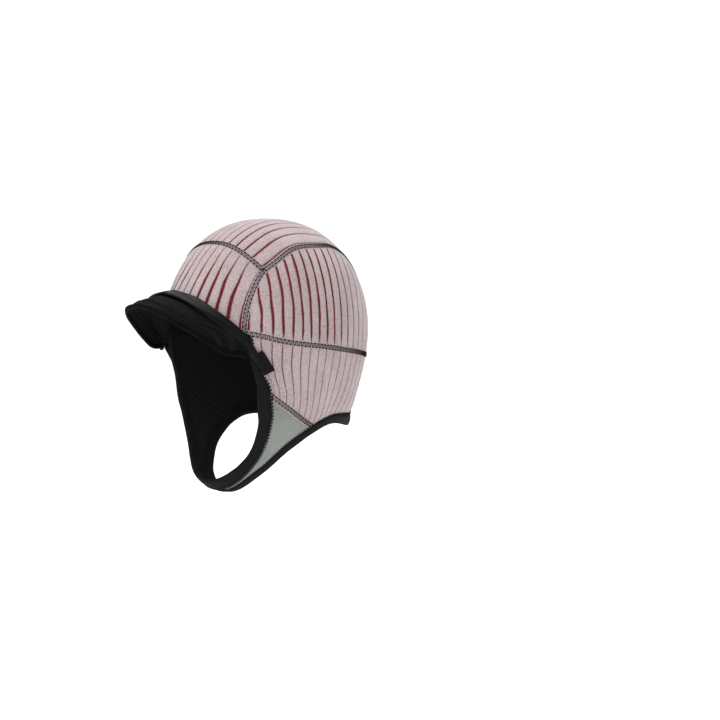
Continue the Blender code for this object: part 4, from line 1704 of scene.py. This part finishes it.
@dataclass
class FoldedBand:
    """A knit band folded over a cut edge of the cap and sewn down with an overlock stitch."""

    name: str
    node: str
    rows: tuple
    sewn_column: int
    free_column: int
    flat: tuple
    flare: float = 0.0
    swell: float = 0.0007
    wall: float = WALL
    columns: int = 400
    stitch_pitch: float = 0.0030
    inner_lap: float = 0.8

    def rails(self) -> tuple[Array, Array, Array]:
        """Both edges of the band all the way round, and its own share along each half.

        Returns:
            tuple: the band's surface, edge to edge, with the share of the way round.
        """
        turn = np.linspace(0, 1, self.columns + 1)
        share = np.where(turn <= 0.5, 2 * turn, 2 - 2 * turn)
        side = np.where(turn <= 0.5, 1, -1)
        steps = np.array([0.0, 0.06, 0.16, 0.3, 0.45, 0.6, 0.75, 0.88, 1.0])[:, None]
        sewn = [along(self.rows, self.sewn_column + k, share) for k in (0, 1)]
        free = [along(self.rows, self.free_column + k, share) for k in (0, 1)]
        angle = sewn[0] * (1 - steps) + free[0] * steps
        width = sewn[1] * (1 - steps) + free[1] * steps
        surface = FORM.point(angle, width, side)
        surface[0] = CUT.rail(self.rows, share, self.sewn_column, side)
        surface[-1] = CUT.rail(self.rows, share, self.free_column, side)
        return surface, steps[:, 0], share

    def make(self) -> bpy.types.Object:
        """Make the folded band with its stitches.

        Returns:
            Object: the band.
        """
        surface, steps, share = self.rails()
        normals = FORM.outward(surface)
        ahead = unit(surface[-1] - surface[-3])
        nape = ease(0.80, 0.97, share) * self.flare
        push = np.sin(steps * math.pi / 2)[:, None] * nape[None, :]
        surface = surface + normals * push[..., None]
        radius = (self.wall + self.swell + 0.0004) / 2
        lift = self.swell * ease(0.0, 0.22, steps) - 0.0001
        outer = surface + normals * lift[:, None, None]
        inner = surface - normals * (self.wall + 0.0004)
        inner[0] += self.inner_lap * (surface[0] - surface[2])
        turns = np.linspace(0, math.pi, 11)[1:-1]
        centre = surface[-1] - ahead * radius + normals[-1] * (self.swell - radius)
        roll = [centre + radius * (math.cos(t) * normals[-1] + math.sin(t) * ahead) for t in turns]
        outer = outer[:-1]
        section = np.concatenate([outer, np.array(roll), inner[:-1][::-1]])
        far = distances(surface[4])
        width = np.concatenate([[[0] * section.shape[1]],
                                np.cumsum(np.linalg.norm(np.diff(section, axis=0), axis=2), axis=0)])
        piece = Piece(self.name, (BAND, THREAD))
        places = np.stack(np.broadcast_arrays(far[None, :], width), axis=-1)
        flip = not looks_away(section[:8], normals[:8])
        piece.add_grid(section, places, 0, flip)
        self.overlock(piece, surface)
        thing = piece.make(self.node, slot="band_knit")
        return thing

    def overlock(self, piece: Piece, surface: Array) -> None:
        """Add the stitches over the sewn edge.

        Args:
            piece: the band.
            surface: its outside from the sewn edge to the free edge.
        """
        track = Track.over(surface[0])
        inward = surface[3] - surface[0]
        near = np.array([np.argmin(np.linalg.norm(surface[0] - p, axis=1)) for p in track.points[::8]])
        side = np.sign(np.sum(inward[near] * track.across[::8], axis=1).sum())
        steps = np.arange(0, track.far[-1], self.stitch_pitch / 14)
        swing = zigzag(steps, self.stitch_pitch)
        across = side * (0.0004 + 0.0021 * np.sin(swing * math.pi / 2))
        height = 0.00045 + 0.00040 * (swing + 1) / 2 - 0.0003 * np.abs(swing) ** 5
        line, _, _ = track.at(steps, across, height)
        add_yarn(piece, line, 0.00040, 1)
        steps = np.arange(0, track.far[-1], self.stitch_pitch / 5)
        wave = np.cos(steps / self.stitch_pitch * 2 * math.pi)
        line, _, _ = track.at(steps, np.full(len(steps), side * 0.0027), 0.00072 + 0.00016 * wave)
        add_yarn(piece, line, 0.00026, 1)


@dataclass
class BrowLip:
    """The smooth lip over the brow, its tails running inside the face band."""

    out: float = 0.0168
    down: float = 0.0080
    thick: float = 0.0046
    lap_gap: float = 0.0004
    press: float = 0.0034
    columns: int = 240
    profile: tuple = (
        (0.02, 0.00, 0.35), (0.35, 0.16, 0.50), (0.72, 0.52, 0.50), (0.95, 0.88, 0.42),
        (1.02, 1.12, 0.16), (0.98, 1.25, -0.20), (0.84, 1.22, -0.50), (0.55, 0.92, -0.50),
        (0.25, 0.60, -0.50), (0.02, 0.42, -0.40),
    )

    def frame_at(self, column: Array) -> tuple[Array, Array, Array, Array, Array, Array]:
        """Root, forward and outward directions and sizes along the lip.

        Args:
            column: shares of the way from the right tail to the left one.

        Returns:
            tuple: root, forward, outward, and the shares of reach, fall and thickness.
        """
        share = np.abs(2 * column - 1)
        side = np.where(column < 0.5, -1, 1)
        width = np.maximum(along(LIP_ROWS, 1, share), 0) * side
        point = FORM.width_point(along(LIP_ROWS, 0, share), width)
        out = FORM.outward(point)
        flat = unit(out * np.array([1, 1, 0]))
        lead = np.maximum(0, 1 - np.abs(width) / 0.75)[..., None] * 0.4
        flat = unit(flat * (1 - lead) + np.array([0, -1, 0]) * lead)
        flare = CUT.brow_flare * np.maximum(0, 1 - (width / 0.69) ** 2)
        sizes = [along(LIP_ROWS, k, share) for k in (2, 3, 4)]
        return point + out * flare[..., None], flat, out, sizes[0], sizes[1], sizes[2]

    def section(self) -> tuple[Array, Array]:
        """Closed cross-section with a rolled upper edge and a groove under it.

        Returns:
            tuple: shares of reach, fall and thickness round the lip, and each point's place.
        """
        corners = np.array(self.profile)
        ring = np.concatenate([corners[-2:], corners, corners[:3]])
        rows = tuple((index - 2, *ring[index]) for index in range(len(ring)))
        at = np.arange(0, len(corners), 0.2)
        return np.stack([smooth(rows, k, at) for k in (1, 2, 3)], axis=-1), at

    def make(self) -> bpy.types.Object:
        """Make the lip.

        Returns:
            Object: the lip.
        """
        column = np.linspace(0, 1, self.columns + 1)
        root, flat, out, reach, fall, thick = self.frame_at(column)
        section, at = self.section()
        depth = (self.thick * thick)[:, None, None]
        up = np.array([0.0, 0.0, 1.0])
        lift = unit(up * 0.7 + out * 0.7)
        points = (root + out * (self.lap_gap + self.thick * thick * 0.5)[:, None])[:, None]
        points = points + flat[:, None] * (self.out * reach[:, None] * section[None, :, 0])[..., None]
        points = points - up * (self.down * fall[:, None] * section[None, :, 1])[..., None]
        points = points + lift[:, None] * depth * section[None, :, 2, None]
        inward = self.press * np.clip(1 - section[:, 0] / 0.3, 0, 1)
        points = points - out[:, None] * inward[None, :, None]
        points = self.creased(points, at)
        piece = Piece("brow_lip_skin", (SKIN,))
        far = np.linspace(0, 0.3, len(column))[:, None]
        places = np.stack(np.broadcast_arrays(far, at[None, :] * 0.003), axis=-1)
        normals = grid_normals(points[:, :8], Direction.UP)
        piece.add_grid(points, places, 0, not looks_away(points[:, :8], normals), wrap=True)
        thing = piece.make("brow_lip", slot="smooth_skin")
        return thing

    def creased(self, points: Array, at: Array) -> Array:
        """Press a groove along the lip and round the roll above it.

        Args:
            points: the lip's surface.
            at: place of each point of the cross-section, in corners of the profile.

        Returns:
            Array: the creased surface.
        """
        middle = points.mean(axis=1, keepdims=True)
        away = unit(points - middle)
        groove = -0.0009 * np.exp(-((at - 1.35) / 0.20) ** 2)
        roll = 0.0009 * np.exp(-((at - 0.75) / 0.35) ** 2) + 0.0004 * np.exp(-((at - 2.2) / 0.5) ** 2)
        return points + away * (groove + roll)[None, :, None]


@dataclass
class Peak:
    """The soft visor: mesh top with a stitched border, lined underside and bound rim."""

    lip: BrowLip
    half_width: float = 0.0600
    reach: float = 0.1455
    top: float = -0.0690
    fall: float = 0.0545
    wall: float = 0.0022
    edge_radius: float = 0.0019
    spread: float = 0.665
    extent: float = 0.965
    corner_drop: float = 0.004
    border: float = 0.0075
    inner_line: float = 0.0035
    stitch_pitch: float = 0.0030
    stitch_step: float = 0.00035
    yarn_radius: float = 0.00026
    tuck: float = 0.0035
    hem_depth: float = 0.0012

    def rim(self, across: Array) -> Array:
        """Points of the rim at shares of the half width.

        Args:
            across: shares of the half width, -1 to 1.

        Returns:
            Array: points in metres.
        """
        front = smooth(PEAK_RIM_ROWS, 1, np.abs(across)) * self.reach
        height = self.top - self.fall * smooth(PEAK_RIM_ROWS, 2, np.abs(across))
        return np.stack([across * self.half_width, -front, height], axis=-1)

    def edge(self, turn: Array) -> Array:
        """Points of the rim from end to end, its two corners rounded in under the lip.

        Args:
            turn: shares of the way from the right end to the left one.

        Returns:
            Array: points in metres.
        """
        rim = self.rim(np.sin((turn - 0.5) * math.pi) * self.extent)
        ends = self.root(2 * turn - 1, False) - np.array([0.0, 0.0, self.corner_drop])
        inward = (0.85 * ease(0.70, 1.0, np.abs(2 * turn - 1)))[:, None]
        return rim * (1 - inward) + ends * inward

    def root(self, share: Array, tucked: bool) -> Array:
        """Points under the lip where the peak starts.

        Args:
            share: -1 at the right end to 1 at the left.
            tucked: back at the hem, or out at the lip's edge.

        Returns:
            Array: points in metres.
        """
        root, flat, out, reach, fall, thickness = self.lip.frame_at((share * self.spread + 1) / 2)
        gap, up = self.lip.lap_gap, np.array([0.0, 0.0, 1.0])
        thick = self.lip.thick * thickness
        stand = (gap + thick * 0.5)[:, None]
        if tucked:
            inside = (1 - np.abs(share) ** 3)[:, None]
            sink = (self.lip.down * fall * 0.85 + thick * 0.5)[:, None]
            return root + out * (stand - self.tuck * inside) - up * sink
        sink = (self.lip.down * fall * 1.10 + thick * 0.35)[:, None]
        return root + out * stand + flat * (self.lip.out * reach * 0.9)[:, None] - up * sink

    def surface(self, columns: int, rows: int) -> Array:
        """Smooth top of the peak from under the lip out to the rim.

        Args:
            columns: points from side to side.
            rows: points from the lip to the rim.

        Returns:
            Array: rows by columns by three.
        """
        turn = np.linspace(0, 1, columns)
        across = np.sin((turn - 0.5) * math.pi)
        tucked, near = self.root(2 * turn - 1, True), self.root(2 * turn - 1, False)
        hem, _, out, _, _, _ = self.lip.frame_at(((2 * turn - 1) * self.spread + 1) / 2)
        hem = hem - out * self.hem_depth
        rim = self.edge(turn)
        rim = rim + unit(near - rim) * (self.edge_radius + self.lip.lap_gap) * 0.5
        shares = np.linspace(0, 1, rows)[:, None, None]
        inner = np.linspace(0, 1, 5)[:-1, None, None]
        back = np.concatenate([hem * (1 - inner) + tucked * inner, tucked * (1 - inner) + near * inner])
        front = near * (1 - shares) + rim * shares
        arch = 0.0022 * np.sin(np.pi * shares) * (1 - across ** 2)[None, :, None]
        front = front + arch * np.array([0.0, 0.0, 1.0])
        return np.concatenate([back, front])

    def make(self) -> bpy.types.Object:
        """Make the visor cloth with its stitched lines.

        Returns:
            Object: the visor.
        """
        base = self.surface(161, 60)
        normals = grid_normals(base, Direction.UP)
        rim = self.edge(np.linspace(0, 1, 400))
        away = np.min(np.linalg.norm(base[:, :, None] - rim[None, None, ::4], axis=-1), axis=-1)
        crease = 0.0005 * np.exp(-((away - self.border) / 0.0006) ** 2)
        piece = Piece("peak_cloth_top", (PEAK_MESH, UNDER_PEAK, THREAD, RIM))
        flip = not looks_away(base, normals)
        top = base - normals * crease[..., None]
        bottom = base - normals * self.wall
        places = np.stack([base[..., 0], base[..., 1]], axis=-1)
        first = piece.add_grid(top, places, 0, flip)
        under = piece.add_grid(bottom, places, 1, not flip)
        piece.close_edges(first, under, base.shape, flip)
        self.stitches(piece, base, normals)
        thing = piece.make("peak", slot="peak_cloth")
        return thing

    def stitches(self, piece: Piece, base: Array, normals: Array) -> None:
        """Add the zigzag along the border and the line under it.

        Args:
            piece: the visor.
            base: its smooth top.
            normals: directions off its top.
        """
        rows, columns = base.shape[:2]
        reach = np.linalg.norm(base[-1] - base[8], axis=-1)
        for inset, off, swing in ((self.border, 0.0003, 0.0011), (self.border, -self.wall - 0.0002, 0.0),
                                  (self.inner_line, -self.wall - 0.0002, 0.0)):
            spot = 8 + (rows - 9) * (1 - np.clip(inset / reach, 0, 0.9))
            index = np.floor(spot).astype(int)
            part = (spot - index)[:, None]
            cols = np.arange(columns)
            line = base[index, cols] * (1 - part) + base[np.minimum(index + 1, rows - 1), cols] * part
            up = unit(normals[index, cols])
            far = distances(line)
            steps = np.arange(0.004, far[-1] - 0.004, self.stitch_step)
            path = np.stack([np.interp(steps, far, line[:, k]) for k in range(3)], axis=-1)
            lift = np.stack([np.interp(steps, far, up[:, k]) for k in range(3)], axis=-1)
            beside = unit(np.cross(unit(np.gradient(path, axis=0)), lift))
            phase = zigzag(steps, self.stitch_pitch)
            bob = off + np.sign(off) * 0.00012 * np.cos(steps / 0.0024 * 2 * math.pi)
            path = path + beside * (swing * phase)[:, None] + lift * bob[:, None]
            add_yarn(piece, path, self.yarn_radius, 2)

    def bound_rim(self) -> bpy.types.Object:
        """Make the bound edge round the rim.

        Returns:
            Object: the binding.
        """
        line = self.edge(np.linspace(0, 1, 220)) - np.array([0, 0, self.wall / 2])
        line = line * np.array([1 + 0.0002 / self.half_width, 1, 1])
        ahead = unit(np.gradient(line, axis=0))
        inward = unit(self.root(np.linspace(-1, 1, 220), False) - line)
        inward = unit(inward - ahead * np.sum(inward * ahead, axis=1, keepdims=True))
        off = np.cross(ahead, inward)
        turn = np.linspace(0, 2 * math.pi, 17)[:-1]
        wide = np.where(np.cos(turn) > 0, 1.7, 1.0)[None, :, None]
        ring = (inward[:, None] * (np.cos(turn)[None, :, None] * wide)
                + off[:, None] * np.sin(turn)[None, :, None])
        points = line[:, None] + ring * self.edge_radius
        far = distances(line)
        piece = Piece("peak_rim", (RIM,))
        places = np.stack(np.broadcast_arrays(far[:, None], turn[None, :] * 0.002), axis=-1)
        piece.add_grid(points, places, 0, False, wrap=True)
        return piece.make("peak_binding", slot="smooth_skin")


@dataclass
class PullTab:
    """Webbing tab at the temple."""

    side: Side
    start: tuple = (-0.0690, 0.0075)
    length: tuple = (0.0100, 0.0162)
    height: tuple = (0.0078, -0.0048)
    wall: float = 0.0016
    lap_gap: float = 0.0004

    def make(self) -> bpy.types.Object:
        """Make the tab.

        Returns:
            Object: the tab.
        """
        column, row = np.meshgrid(np.linspace(-0.05, 1.0, 34), np.linspace(0, 1, 18))
        spot = np.array(self.start) + column[..., None] * np.array(self.length)
        spot = spot + row[..., None] * np.array(self.height)
        surface = FORM.side_point(spot[..., 0], spot[..., 1], self.side.value)
        stand = self.lap_gap + self.wall + 0.0010 + 0.0006 * ease(0.0, 1.0, column)
        base = surface + FORM.outward(surface) * stand[..., None]
        name = "pull_tab_" + self.side.word
        piece = Piece(name + "_webbing", (WEBBING, WEBBING))
        edge = np.minimum(row, 1 - row) * 0.008
        lift = -0.0005 * np.exp(-(edge / 0.0005) ** 2)
        places = np.stack([column * 0.016, row * 0.008], axis=-1)
        cloth_piece(piece, base, lift, self.wall, places, np.zeros_like(row))
        return piece.make(name, slot="band_knit")


@dataclass
class Studio:
    """Pale paper sweep, soft lights and the camera."""

    floor_level: float = -0.352
    azimuth: float = 50.0
    elevation: float = 4.5
    distance: float = 1.6
    pixel: float = 0.00092
    shift_right: float = 91.0
    shift_up: float = -20.5
    picture_width: int = 720

    def directions(self) -> tuple[Vector, Vector, Vector]:
        """Directions of the view.

        Returns:
            tuple: from the object to the camera, to the camera's right and upwards.
        """
        turn, rise = math.radians(self.azimuth), math.radians(self.elevation)
        back = Vector((math.sin(turn) * math.cos(rise), -math.cos(turn) * math.cos(rise), math.sin(rise)))
        right = Vector((math.cos(turn), math.sin(turn), 0))
        return back, right, back.cross(right)

    def camera(self) -> None:
        """Place the camera at the photographed angle."""
        back, right, up = self.directions()
        centre = Vector((0, 0, FORM.ear_level))
        data = bpy.data.cameras.new("view")
        data.lens = data.sensor_width * self.distance / (self.picture_width * self.pixel)
        thing = bpy.data.objects.new("view", data)
        thing.location = centre + back * self.distance
        aim = centre + right * self.shift_right * self.pixel + up * self.shift_up * self.pixel
        thing.rotation_euler = (aim - thing.location).to_track_quat("-Z", "Y").to_euler()
        bpy.context.scene.collection.objects.link(thing)
        bpy.context.scene.camera = thing

    def sweep(self) -> None:
        """Lay the paper on the floor and up behind the object."""
        back, _, _ = self.directions()
        ahead = -Vector((back.x, back.y, 0)).normalized()
        across = Vector((ahead.y, -ahead.x, 0))
        turn = np.linspace(0, math.pi / 2, 25)
        run = np.concatenate([np.linspace(-30.0, 2.2, 12), 2.2 + 1.4 * np.sin(turn)[1:], np.full(6, 3.6)])
        rise = np.concatenate([np.zeros(12), 1.4 - 1.4 * np.cos(turn)[1:], np.linspace(1.7, 4.0, 6)])
        wide = np.linspace(-20, 20, 21)
        points = (run[:, None, None] * np.array(ahead) + wide[None, :, None] * np.array(across)
                  + (self.floor_level + rise)[:, None, None] * np.array([0, 0, 1]))
        piece = Piece("paper_sweep", (PAPER,))
        piece.add_grid(points, np.zeros(points.shape[:2] + (2,)), 0, True)
        piece.make()

    def lamp(self, name: str, place: tuple, size: float, power: float) -> None:
        """Hang a soft lamp aimed at the object.

        Args:
            name: name of the lamp.
            place: shares along the view's right, up and back directions, in metres.
            size: width of the lamp.
            power: watts.
        """
        back, right, up = self.directions()
        centre = Vector((0, 0, FORM.ear_level))
        data = bpy.data.lights.new(name, "AREA")
        data.shape, data.size, data.energy = "DISK", size, power
        thing = bpy.data.objects.new(name, data)
        thing.location = centre + right * place[0] + up * place[1] + back * place[2]
        thing.rotation_euler = (centre - thing.location).to_track_quat("-Z", "Y").to_euler()
        bpy.context.scene.collection.objects.link(thing)

    def light(self) -> None:
        """Light the object softly from above and both sides."""
        world = bpy.data.worlds.new("soft_room")
        world.use_nodes = True
        world.node_tree.nodes["Background"].inputs[0].default_value = (1.0, 1.0, 1.0, 1.0)
        world.node_tree.nodes["Background"].inputs[1].default_value = 0.68
        bpy.context.scene.world = world
        self.lamp("key", (-1.1, 1.5, 1.2), 1.4, 24.0)
        self.lamp("side", (1.8, 0.6, 0.2), 1.2, 3.0)
        self.lamp("top", (0.1, 1.9, -0.2), 1.3, 23.0)

    def set_up(self) -> None:
        """Build the whole studio."""
        self.camera()
        self.sweep()
        self.light()
        bpy.context.scene.view_settings.view_transform = "Standard"


def main() -> None:
    """Build each sub-assembly of the cap and report it."""
    logging.basicConfig(level=logging.INFO, format="%(message)s")
    studio = Studio()
    studio.set_up()
    crown = CrownPanels()
    crown.crown()
    crown.brow()
    for side in Side:
        panels = SidePanels(side)
        panels.upper()
        panels.lower()
        panels.flap()
        PullTab(side).make()
    NapePanel().make()
    Seams().sew_all()
    FoldedBand("face_band_knit", "face_band", FACE_BAND_ROWS, 2, 0, (0.028, 0.42)).make()
    FoldedBand("neck_band_knit", "neck_band", NECK_BAND_ROWS, 0, 2, (0.028, 0.56), flare=0.010).make()
    lip = BrowLip()
    lip.make()
    peak = Peak(lip)
    peak.make()
    peak.bound_rim()


if __name__ == "__main__":
    main()
